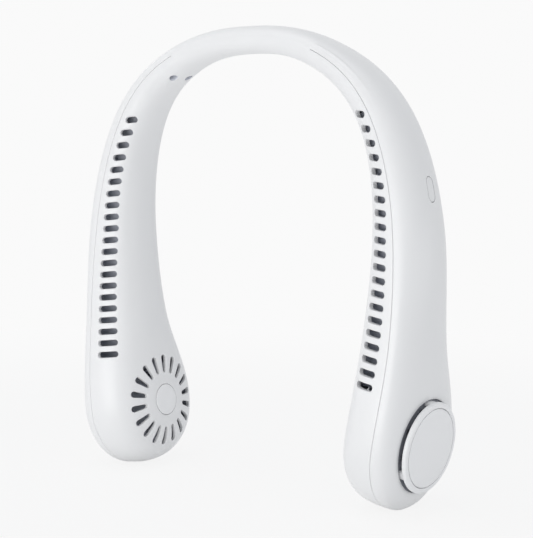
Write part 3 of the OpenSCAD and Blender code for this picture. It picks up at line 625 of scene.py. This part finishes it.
# ---- The four shells
def shell_rows():
    """Rows of a shell's grid: lengths down the arm, then shares of the way over the lobe's end,
    even at first and then even in height, because the end falls steeply."""
    arm = np.linspace(SLEEVE_HALF, LOBE_S, ROW_COUNT)
    flat = np.arange(1, 16) * 0.05
    high = np.arange(0.77, 0.035, -0.04)
    past = np.concatenate([flat, (1 - high ** SQ_LOBE) ** (1 / SQ_LOBE)])
    return arm, past


ARM_ROWS, END_ROWS = shell_rows()


def row_s(inset):
    return np.concatenate([ARM_ROWS, LOBE_S + (LOBE_R - inset) * END_ROWS])


def chart_u(s, inset):
    """Length in the chart that a skin is triangulated in, the same for both skins of a wall."""
    return np.where(s > LOBE_S, LOBE_S + (s - LOBE_S) * LOBE_R / (LOBE_R - inset), s)


def columns(skin, count):
    """Section angles that are evenly far apart round the lobe's section."""
    b = np.linspace(0, math.pi, 721)
    n, y = skin.at(np.full(len(b), LOBE_S), b)
    run = np.concatenate([[0], np.cumsum(np.hypot(np.diff(n), np.diff(y)))])
    return np.interp(np.linspace(0, run[-1], count + 1), run, b)


def lay_skin(build, skin, cols, holes, first_ring, mat):
    """The grid and the hole rings of one skin. Returns the grid's ids and each hole's ring."""
    s_rows = row_s(skin.inset)
    ss, bb = np.meshgrid(s_rows, cols, indexing="ij")
    n, y = skin.at(ss, bb)
    grid = build.add(place(ss, skin.sign() * n, y)).reshape(ss.shape)
    u, v = chart_u(ss, skin.inset).ravel(), bb.ravel() * ANGLE_SCALE
    keep = np.ones(len(u), bool)
    us, vs, rings = [], [], []
    for hole in holes:
        wide = first_ring(hole)
        s, n, y = hole.spot(skin, wide + HOLE_CLEAR)
        cu, cv = chart_u(s, skin.inset), skin.angle(s, n, y) * ANGLE_SCALE
        near = (u > cu.min() - 1) & (u < cu.max() + 1) & (v > cv.min() - 1) & (v < cv.max() + 1)
        idx = np.flatnonzero(near & keep)
        keep[idx[inside(cu, cv, u[idx], v[idx])]] = False
        s, n, y = hole.spot(skin, wide)
        rings.append(build.add(place(s, skin.sign() * n, y)))
        us.append(chart_u(s, skin.inset))
        vs.append(skin.angle(s, n, y) * ANGLE_SCALE)
    keep = keep.reshape(ss.shape)
    keep[0] = keep[-1] = keep[:, 0] = keep[:, -1] = True
    base = np.flatnonzero(keep)
    places, at = [], len(base)
    for r in rings:
        places.append(np.arange(at, at + len(r)))
        at += len(r)
    build.sheet(np.concatenate([u[base], *us]), np.concatenate([v[base], *vs]),
                np.concatenate([grid.ravel()[base], *rings]), places, mat)
    return grid, rings


def shell(out, holes):
    """One moulded shell: both skins with their holes, the joint edge and the holes' walls."""
    build = Build()
    outer, inner = Skin(out, 0, GROOVE / 2 + EDGE_R), Skin(out, WALL, GROOVE / 2)
    cols = columns(outer, COLUMN_COUNT)
    if out:
        cols = np.union1d(cols, RIDGE["angle"] + RIDGE["spread"] * np.linspace(-2, 2, 9))
    grid, rings = lay_skin(build, outer, cols, holes, lambda h: h.round_r, 0)
    through = [h for h in holes if h.through]
    grid_in, rings_in = lay_skin(build, inner, cols, through,
                                 lambda h: COLLAR_WALL if h.deep else h.inner_d, LINING)
    joint_edge(build, outer, grid, grid_in)
    build.strip(grid[0], grid_in[0], closed=False)
    rings_in = iter(rings_in)
    for hole, ring in zip(holes, rings):
        hole_wall(build, hole, outer, inner, ring, next(rings_in) if hole.through else None)
    return build


def joint_edge(build, skin, grid, grid_in):
    """The rounded edge and the seat of the joint, in front, behind and at the lobe's tip."""
    sign, steps = skin.sign(), rounding(EDGE_R)
    chains = []
    for j, way in ((0, -1), (-1, 1)):
        chain = [grid[:, j]]
        for inset, out in steps[1:]:
            s = row_s(inset)
            p = Skin(skin.out, inset).parts(s)
            y = p["mid"] + way * (p["half"] - inset) * p["left"]
            chain.append(build.add(place(s, sign * (GROOVE / 2 + out), y)))
        chain.append(grid_in[:, j])
        for a, b in zip(chain, chain[1:]):
            build.strip(a, b, closed=False)
        chains.append(chain)
        build.face([c[0] for c in chain])
    y = Skin(skin.out).parts(np.array([ARM_LEN]))["mid"][0]
    tips = [build.add(place(ARM_LEN - inset, sign * (GROOVE / 2 + out), y))[0]
            for inset, out in steps + [(WALL, 0.0)]]
    build.fan(grid[-1], tips[0], closed=False)
    build.fan(grid_in[-1], tips[-1], LINING, closed=False)
    for k in range(ROUND + 1):
        for chain in chains:
            build.face([chain[k][-1], chain[k + 1][-1], tips[k + 1], tips[k]])


def hole_wall(build, hole, outer, inner, last, ring_in):
    """A hole's rounded mouth from its ring in the outer skin, its wall and what it ends in."""
    sign = outer.sign()
    for deep, wide in rounding(hole.round_r)[1:]:
        s, n, y = hole.spot(outer, wide)
        here = build.add(place(s, sign * n, y) + hole.way * deep)
        build.strip(last, here)
        last = here
    for step in hole.chain:
        here = build.add(step)
        build.strip(last, here, mat=LINING if hole.lined else 0)
        last = here
    if hole.end:
        hole.end(build, last, ring_in)
    elif hole.deep:
        for wide in (0.0, COLLAR_WALL):
            s, n, y = hole.spot(inner, wide)
            here = build.add(place(s, sign * n, y) + hole.way * hole.deep)
            build.strip(last, here, mat=LINING if wide else 0)
            last = here
        build.strip(last, ring_in, mat=LINING)
    else:
        build.strip(last, ring_in)


def slot_falls(side):
    """How far below the band each slot sits: the steps start longer and settle to one pitch."""
    steps = (1 - np.arange(SLOT_COUNT - 1) / (SLOT_COUNT - 1)) ** 3
    more = (SLOT_END - SLOT_START[side] - PITCH_LOW[side] * len(steps)) / steps.sum()
    return SLOT_START[side] + np.concatenate([[0], np.cumsum(PITCH_LOW[side] + more * steps)])


def slot_holes(side):
    holes = []
    for k, fall in enumerate(slot_falls(side)):
        share = k / (SLOT_COUNT - 1)
        length, off = between(SLOT_LEN, share), between(SLOT_OFF, share)
        if k < DIP_SLOTS:
            off -= OFF_DIP * math.sin(math.pi * k / DIP_SLOTS)
        x0 = float(np.interp(fall, -LINE_Z, LINE_X)) - off - length / 2
        x0 -= between(SLOT_SHIFT[side], share)
        z0 = -fall

        def ring(d, length=length, x0=x0, z0=z0):
            x, z = pill_ring(length, SLOT_W, d, tilt=-SLOT_TILT)
            return x0 + x, z0 + z
        s, n = from_xz(np.array([x0]), np.array([z0]))
        level = float(Skin(False).edge(s, np.abs(n), False)[0])
        lean = math.tan(math.radians(between(SLOT_LEAN, share)))
        spot = front_or_back(ring, False, lean, level)
        holes.append(Hole(spot, (lean, 1, 0), MOUTH["slot"], deep=SLOT_COLLAR))
    return holes


def grille_holes():
    holes = []
    for k in range(GRILLE["count"]):
        turn = 2 * math.pi * k / GRILLE["count"] + GRILLE["turn"]

        def ring(d, turn=turn):
            return shifted(taper_ring(*GRILLE["slot"], d, turn), LOBE_MID)
        holes.append(Hole(facing(LOBE_S, ring), upright(LOBE_S), MOUTH["slot"]))
    return holes


def grille_rib(build):
    """A low ring behind the grille, which keeps its intake apart from the slots' duct."""
    skin, rings = Skin(False, WALL, GROOVE / 2), []
    near, far, top, foot = RIB["r"], RIB["r"] + RIB["wide"], RIB["high"], -RIB["sunk"]
    for r, up in ((near, foot), (near, top), (far, top), (far, foot)):
        s, n, y = facing(LOBE_S, circle_at(r, RING["rib"], LOBE_MID))(skin, 0)
        rings.append(build.add(place(s, up - n, y)))
    # the rib takes the well's dark colour, painted shade behind the grille
    for a, b in zip(rings, rings[1:] + rings[:1]):
        build.strip(a, b, mat=WELL_SHADE_SLOT)


def hub_hole():
    """The blind seat of the hub disc."""
    r, count = HUB_R + HUB_LINE, RING["hub"]

    def end(build, last, _):
        x, y = circle_ring(r, count)
        here = build.add(lobe_points(x, y, HUB_FLOOR))
        build.strip(last, here)
        build.fan(here, build.add(lobe_points(0, 0, HUB_FLOOR))[0])
    return Hole(facing(LOBE_S, circle_at(r, count, LOBE_MID)), upright(LOBE_S), MOUTH["hub"],
                through=False, end=end)


def screw_spots():
    """Length along the line and y of the two screws of an arm."""
    p = Skin(False).parts(np.array([SCREW_S]))
    centre = float(p["mid"][0]) - float(p["half"][0]) / SCREW_OFF
    return [(SCREW_S - k * SCREW_SKEW / 2, centre + k * SCREW_GAP / 2) for k in (-1, 1)]


def screw_holes():
    """The recess of each screw, its bore, and the boss that stands on the spring strip."""
    holes, count = [], RING["screw"]
    for s0, y0 in screw_spots():
        chain = [arm_points(s0, *circle_at(r, count, y0)(0), n) for r, n in SCREW_RINGS]
        holes.append(Hole(facing(s0, circle_at(RECESS_R, count, y0)), upright(s0),
                          MOUTH["screw"], chain=chain, inner_d=SCREW_RINGS[-1][0] - RECESS_R,
                          lined=True))
    return holes


def dish_hole():
    """The round well under the inlet cap."""
    spot = facing(LOBE_S, circle_at(DISH_R, RING["dish"], LOBE_MID + WELL_Y))
    return Hole(spot, -upright(LOBE_S), MOUTH["dish"], end=dish_floor, inner_d=WALL)


def well_points(x, y, n):
    return lobe_points(x, y + WELL_Y, n)


def dish_floor(build, top_ring, under_ring):
    """The well's floor with its radial inlets and the collar under it, dark with painted shade."""
    count = INLETS["count"]
    slots = [taper_ring(*INLETS["slot"], 0, 2 * math.pi * k / count) for k in range(count)]
    levels = []
    for down, last in ((0.0, top_ring), (WALL, under_ring)):
        n, rim = FLOOR_N - down, circle_ring(DISH_R + down, RING["dish"])
        rings = [rim] + [circle_ring(r, RING["well"]) for r in WELL_RINGS] + slots
        ids = [build.add(well_points(x, y, n)) for x, y in rings]
        build.strip(last, ids[0], mat=WELL_SHADE_SLOT)
        ends = np.cumsum([len(i) for i in ids])
        holes = [np.arange(start, end) for start, end in zip(ends[-count - 1:-1], ends[-count:])]
        build.sheet(np.concatenate([r[0] for r in rings]), np.concatenate([r[1] for r in rings]),
                    np.concatenate(ids), holes, WELL_SHADE_SLOT)
        levels.append(ids[-count:])
    for a, b in zip(*levels):
        build.strip(a, b, mat=WELL_SHADE_SLOT)


def button_place():
    """The y of the button's middle."""
    p = Skin(True).parts(np.array([BUTTON_S]))
    return float(p["mid"][0]) + float(p["half"][0]) / BUTTON_OFF


def button_ring(d):
    return shifted(pill_ring(BUTTON_LEN, BUTTON_W, d, PILL["button"]), button_place())


def button_hole():
    spot = facing(BUTTON_S, lambda d: button_ring(d + BUTTON_GAP))
    return Hole(spot, -upright(BUTTON_S), MOUTH["button"])


def port_hole():
    """The opening of the charging socket in the back edge."""
    centre = place(PORT_S, PORT_N, 0)
    along, up = axes(PORT_S)

    def ring(d):
        a, b = pill_ring(PORT_LEN, PORT_W, d + PORT_GAP, PILL["port"])
        return centre[0] + a * along[0] + b * up[0], centre[2] + a * along[2] + b * up[2]
    return Hole(front_or_back(ring, True), (0, -1, 0), MOUTH["port"])


def shell_pieces():
    for side, label in SIDES:
        inner = slot_holes(side) + grille_holes() + [hub_hole()] + screw_holes()
        outer = [dish_hole(), button_hole() if side > 0 else port_hole()]
        for out, holes, name in ((False, inner, "inner_shell"), (True, outer, "outer_shell")):
            build = shell(out, holes)
            if not out:
                grille_rib(build)
            piece = build.make(f"{label}_{name}_skin", [SHELL, LINER, WELL_SHADE], side)
            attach(piece, f"{label}_arm")
            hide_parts(f"{label}_{name}")


# ---- Cap, hub disc and button
def turned_profile(build, profile, count, place_at):
    """A closed solid turned round an axis, from (radius, n) points that start and end on it."""
    rings = []
    for r, n in profile:
        if r < 1e-6:
            rings.append(build.add(place_at(0, 0, n)))
        else:
            rings.append(build.add(place_at(*circle_ring(r, count), n)))
    for a, b in zip(rings, rings[1:]):
        if len(a) == 1:
            build.fan(b, a[0])
        elif len(b) == 1:
            build.fan(a, b[0])
        else:
            build.strip(a, b)


def arc(cx, cy, r, start, end, count):
    t = np.radians(np.linspace(start, end, count))
    return [(cx + r * math.cos(a), cy + r * math.sin(a)) for a in t]


def cap_points(x, y, n):
    """Points on the cap, which leans a little forward."""
    c, k = math.cos(CAP_LEAN), math.sin(CAP_LEAN)
    x, y, n = np.broadcast_arrays(np.asarray(x, float), y, n)
    return lobe_points(x, FORM_SHIFT + y * c - n * k, y * k + n * c)


def cap_mesh():
    """The inlet cap: a disc with a ring groove and a rounded rim, on three posts in the well."""
    build = Build()
    top, low = CAP_N + CAP_T, CAP_N
    half, lip, deep = CAP_GROOVE["half"], CAP_GROOVE["lip"], CAP_GROOVE["deep"]
    groove = (arc(CAP_GROOVE_R - half - lip, top - lip, lip, 90, 0, 3)
              + [(CAP_GROOVE_R - half, top - deep), (CAP_GROOVE_R + half, top - deep)]
              + arc(CAP_GROOVE_R + half + lip, top - lip, lip, 180, 90, 3))
    rim = (arc(FORM_R - CAP_EDGE, top - CAP_EDGE, CAP_EDGE, 90, 0, 10)
           + arc(FORM_R - CAP_LOW_EDGE, low + CAP_LOW_EDGE, CAP_LOW_EDGE, 0, -90, 4))
    face = [(0, top), (6, top), (12, top)]
    back = [(12, low), (0, low)]
    turned_profile(build, face + groove + rim + back, RING["cap"], cap_points)
    for k in range(POST_COUNT):
        a = POST_TURN + 2 * math.pi * k / POST_COUNT
        out, along = pill_ring(POST_W, POST_T, 0, PILL["post"], 2, tilt=a + math.pi / 2)
        x, y = out + POST_AT * math.cos(a), along + POST_AT * math.sin(a)
        top_n = (CAP_N + POST_IN
                 + (WELL_Y - CAP_SHIFT + POST_AT * math.sin(a)) * math.sin(CAP_LEAN))
        foot = build.add(well_points(x, y, FLOOR_N + POST_CLEAR))
        head = build.add(well_points(x, y, top_n))
        build.strip(foot, head)
        build.face(foot)
        build.face(head)
    return build


def hub_mesh():
    """The plain disc in the middle of the grille."""
    build = Build()
    face, back, r = -INNER_LOBE, HUB_FLOOR, HUB_EDGE
    rim = arc(HUB_R - r, face + r, r, -90, 0, 4)
    profile = [(0, face), (4, face)] + rim + [(HUB_R, back), (0, back)]
    turned_profile(build, profile, RING["disc"], lobe_points)
    return build


def button_mesh():
    """The pill in the right arm's face. Its top keeps to the shell's curve, over a flange."""
    build = Build()
    spot, up, skin = facing(BUTTON_S, button_ring), upright(BUTTON_S), Skin(True, BUTTON_LOW)

    def face_ring(d):
        return place(*spot(skin, d))
    rings = [build.add(face_ring(d)) for d in (-2.2, -1.6, -1.0, -0.5)]
    for down, wide in rounding(BUTTON_ROUND):
        rings.append(build.add(face_ring(-wide) - up * down))
    top = float(Skin(True).height(np.array([BUTTON_S]), np.array([button_place()]))[0])
    for d, down in BUTTON_FLANGE:
        rings.append(build.add(arm_points(BUTTON_S, *button_ring(d), top - BUTTON_LOW - down)))
    build.fan(rings[0], build.add(face_ring(-2.3).mean(0))[0])
    for a, b in zip(rings, rings[1:]):
        build.strip(a, b)
    build.face(rings[-1])
    return build


def small_pieces():
    for side, label in SIDES:
        for form, name in ((cap_mesh, "inlet_cap"), (hub_mesh, "hub_disc")):
            piece = form().make(f"{label}_{name}_form", [CAP_LIT_WHITE], side)
            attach(piece, f"{label}_arm")
            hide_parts(f"{label}_{name}")
    piece = button_mesh().make("power_button_form", [BUTTON], 1)
    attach(piece, "button")
    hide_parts("power_button")


def divider_tail():
    """The short end of the duct divider, from where the straight plate stops to the scroll."""
    build = Build()
    rings = []
    n, y = np.array(TAIL["n"])[[0, 1, 1, 0]], np.array(TAIL["y"])[[0, 0, 1, 1]]
    for s in np.linspace(*TAIL["s"], 5):
        rings.append(build.add(place(np.full(4, s), n, y)))
    build.face(rings[0])
    build.face(rings[-1])
    for a, b in zip(rings, rings[1:]):
        build.strip(a, b)
    return build


def tail_pieces():
    for side, label in SIDES:
        piece = divider_tail().make(f"{label}_divider_tail", [DUCT], side)
        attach(piece, f"{label}_arm")


# ---- The band: sleeve, spring strip and ribbon, each in two halves
def sleeve_half():
    """Half of the soft sleeve. Its sides open into the shells' joint line towards the end."""
    build = Build()
    ss = np.linspace(0, SLEEVE_HALF, 40)
    layers = []
    opening = smooth_step(ss, SLEEVE_HALF - LIP_RUN, SLEEVE_HALF)
    lip = SEAM_LIP + (GROOVE / 2 + EDGE_R - SEAM_LIP) * opening
    turn = np.linspace(0, math.pi, 61)
    for inset in (0.0, SLEEVE_WALL):
        cols = []
        for out, angles in ((True, turn), (False, turn[::-1])):
            skin = Skin(out, inset, lip)
            for b in angles:
                n, y = skin.at(ss, np.full(len(ss), b))
                cols.append(place(ss, skin.sign() * n, y))
        grid = np.array(cols)
        layers.append(build.add(grid).reshape(grid.shape[:2]))
    out_ids, in_ids = layers
    m = len(out_ids)
    for j in range(m):
        k = (j + 1) % m
        for i in range(len(ss) - 1):
            build.face([out_ids[j, i], out_ids[k, i], out_ids[k, i + 1], out_ids[j, i + 1]])
            build.face([in_ids[j, i], in_ids[k, i], in_ids[k, i + 1], in_ids[j, i + 1]])
        build.face([out_ids[j, -1], out_ids[k, -1], in_ids[k, -1], in_ids[j, -1]])
    return build


def strip_half():
    """Half of the spring strip: a blade that widens to a tab, bored for its arm's two screws."""
    build = Build()
    start, end = STRIP["tab"]
    across = STRIP["y"] + STRIP["w"] * np.linspace(-0.5, 0.5, 5)
    r = STRIP["corner"]
    low, high = STRIP["tab_y"] - STRIP["tab_w"] / 2, STRIP["tab_y"] + STRIP["tab_w"] / 2
    edge = [(start, y) for y in across]
    for s, y, turn in ((start + r, high - r, 180), (end - r, high - r, 90),
                       (end - r, low + r, 0), (start + r, low + r, -90)):
        edge += arc(s, y, r, turn, turn - 90, 5)
    spots, bore, count = screw_spots(), STRIP["bore"], RING["screw"]
    points = list(edge)
    for s0, y0 in spots:
        x, y = circle_ring(bore, count)
        points += list(zip(s0 + x, y0 + y))
    points += [(s, y) for s in np.linspace(start, end, 8)[1:-1]
               for y in np.linspace(low, high, 10)[1:-1]
               if min(math.hypot(s - s0, y - y0) for s0, y0 in spots) > bore + STRIP["clear"]]
    u, v = np.array(points).T
    holes = [len(edge) + k * count + np.arange(count) for k in range(len(spots))]
    ss = np.linspace(0, start, 34)
    faces = []
    for n in (STRIP["t"] / 2, -STRIP["t"] / 2):
        rows = [build.add(place(np.full(len(across), s), n, across)) for s in ss]
        for a, b in zip(rows, rows[1:]):
            build.strip(a, b, closed=False)
        ids = build.add(place(u, n, v))
        build.sheet(u, v, ids, holes)
        faces.append((rows, ids[:len(edge)], [ids[h] for h in holes]))
    (rows_a, edge_a, bores_a), (rows_b, edge_b, bores_b) = faces
    build.strip(rows_a[0], rows_b[0], closed=False)
    for k in (0, -1):
        build.strip([row[k] for row in rows_a], [row[k] for row in rows_b], closed=False)
    # the tab's rim, apart from where the blade joins it
    rims = [list(e[len(across) - 1:]) + [e[0]] for e in (edge_a, edge_b)]
    build.strip(*rims, closed=False)
    for a, b in zip(bores_a, bores_b):
        build.strip(a, b)
    return build


def ribbon_half():
    """Half of the ribbon cable, its wires side by side."""
    build = Build()
    wire, count = RIBBON["wire"], RIBBON["wires"]
    top = []
    for k in range(count):
        top += arc(wire * (k - (count - 1) / 2), 0, wire / 2, 150, 30, 7)
    y, n = np.array(top + [(a, -b) for a, b in top[::-1]]).T
    y, n = y + RIBBON["y"], n + RIBBON["n"]
    rings = [build.add(place(np.full(len(y), s), n, y)) for s in np.linspace(0, RIBBON["end"], 60)]
    for a, b in zip(rings, rings[1:]):
        build.strip(a, b)
    build.face(rings[0])
    build.face(rings[-1])
    return build


def band_pieces():
    rows = ((sleeve_half, "sleeve_half", SOFT, "neckband_sleeve", "soft_white"),
            (strip_half, "spring_strip_half", SPRING, "spring_strip", "spring_steel"),
            (ribbon_half, "ribbon_half", CABLE, "band_ribbon", "cable_black"))
    for side, label in SIDES:
        for form, name, mat, node, slot in rows:
            piece = form().make(f"{label}_{name}", [mat], side)
            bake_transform(piece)
            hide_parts(node)


# ---- Floor, light and camera
# The photo's view: angles in radians, focal length in pixels, distance and shift of the aim in mm
CAM = dict(az=0.61962, el=0.07667, roll=0.01292, f=1356.0, dist=596.0, tx=-7.472, tz=94.697)
PHOTO_LONG_SIDE, SENSOR = 538, 36
FLOOR_Z, FLOOR_R = -193.47 * MM, 6.0
FLOOR_COLOUR = (0.93, 0.93, 0.93)
# The floor shows the backdrop's white: this share near the object, and all of it further off
FLOOR_SHOWN = dict(From_Min=0.15, From_Max=0.6, To_Min=0.9, To_Max=1.0)
BACKDROP = (0.955, 0.955, 0.955)
LAMPS_AIM = (0, 0.01, -0.12)
# name, degrees round from the camera, degrees up, metres off, width, height, watts
LAMPS = (
    ("low_left", -35, 0, 0.65, 0.6, 0.15, 1.36),
    ("low_right", 75, 0, 0.65, 0.6, 0.15, 0.38),
    ("left_top", -70, 75, 1.2, 0.8, 0.8, 3.23),
)
WORLD_LIGHT, WORLD_TINT = 0.56, (0.96, 0.99, 1.035)
LAMP_TINT = (1.01, 1.0, 0.98)


def seen(tree, share):
    """A share for rays that come from the camera, a mirror or glass, and none for the rest."""
    new, link = maker(tree)
    path = new("LightPath")
    total = path.outputs["Is Camera Ray"]
    for name in ("Is Glossy Ray", "Is Transmission Ray"):
        add = new("Math")
        add.operation, add.use_clamp = "ADD", True
        link(total, add.inputs[0])
        link(path.outputs[name], add.inputs[1])
        total = add.outputs[0]
    mul = new("Math")
    mul.operation = "MULTIPLY"
    link(total, mul.inputs[0])
    if isinstance(share, float):
        mul.inputs[1].default_value = share
    else:
        link(share, mul.inputs[1])
    return mul.outputs[0]


def floor_material():
    """Pale and plain: it takes the object's soft shadow and fades into the backdrop."""
    m, new, link = fresh("floor")
    out, bsdf = new("OutputMaterial"), new("BsdfDiffuse")
    light, mix = new("Emission"), new("MixShader")
    give(bsdf, Color=(*FLOOR_COLOUR, 1))
    give(light, Color=(*BACKDROP, 1))
    coord, dist = new("TexCoord"), new("VectorMath")
    span = new("MapRange")
    dist.operation = "LENGTH"
    span.interpolation_type = "SMOOTHSTEP"
    give(span, **FLOOR_SHOWN)
    link(coord.outputs["Object"], dist.inputs[0])
    link(dist.outputs["Value"], span.inputs["Value"])
    link(seen(m.node_tree, span.outputs["Result"]), mix.inputs[0])
    link(bsdf.outputs[0], mix.inputs[1])
    link(light.outputs[0], mix.inputs[2])
    link(mix.outputs[0], out.inputs["Surface"])
    return m


def studio():
    """The floor, the world's light and the lamps."""
    scene = bpy.context.scene
    scene.view_settings.view_transform = "Standard"
    bm = bmesh.new()
    bmesh.ops.create_circle(bm, cap_ends=True, segments=96, radius=FLOOR_R)
    mesh = bpy.data.meshes.new("floor")
    bm.to_mesh(mesh)
    bm.free()
    floor = bpy.data.objects.new("floor", mesh)
    floor.location.z = FLOOR_Z
    scene.collection.objects.link(floor)
    mesh.materials.append(floor_material())
    world = bpy.data.worlds.new("world")
    scene.world = world
    world.use_nodes = True
    nodes = world.node_tree.nodes
    new, link = maker(world.node_tree)
    lit, back, mix = nodes["Background"], new("Background"), new("MixShader")
    give(lit, Color=(*WORLD_TINT, 1), Strength=WORLD_LIGHT)
    give(back, Color=(*BACKDROP, 1))
    link(seen(world.node_tree, 1.0), mix.inputs[0])
    link(lit.outputs[0], mix.inputs[1])
    link(back.outputs[0], mix.inputs[2])
    link(mix.outputs[0], nodes["World Output"].inputs["Surface"])
    for name, az, el, far, wide, tall, power in LAMPS:
        a, e = math.radians(az) + CAM["az"], math.radians(el)
        way = Vector((math.sin(a) * math.cos(e), -math.cos(a) * math.cos(e), math.sin(e)))
        lamp = bpy.data.lights.new(name, "AREA")
        lamp.shape, lamp.energy, lamp.color = "RECTANGLE", power, LAMP_TINT
        lamp.size, lamp.size_y = wide, tall
        obj = bpy.data.objects.new(name, lamp)
        obj.location = Vector(LAMPS_AIM) + way * far
        obj.rotation_mode = "QUATERNION"
        obj.rotation_quaternion = way.to_track_quat("Z", "Y")
        scene.collection.objects.link(obj)


def camera():
    az, el, roll = CAM["az"], CAM["el"], CAM["roll"]
    # the camera's own back, right and up
    b = Vector((math.sin(az) * math.cos(el), -math.cos(az) * math.cos(el), math.sin(el)))
    r = Vector((math.cos(az), math.sin(az), 0))
    u = b.cross(r)
    r, u = r * math.cos(roll) + u * math.sin(roll), -r * math.sin(roll) + u * math.cos(roll)
    data = bpy.data.cameras.new("camera")
    data.sensor_width = SENSOR
    data.lens = CAM["f"] * SENSOR / PHOTO_LONG_SIDE
    data.clip_start, data.clip_end = 0.01, 50
    cam = bpy.data.objects.new("camera", data)
    cam.matrix_world = Matrix((r, u, b)).transposed().to_4x4()
    cam.location = (b * CAM["dist"] - r * CAM["tx"] - u * CAM["tz"]) * MM
    bpy.context.scene.collection.objects.link(cam)
    bpy.context.scene.camera = cam


camera()
studio()
dress_nodes()
shell_pieces()
small_pieces()
tail_pieces()
band_pieces()
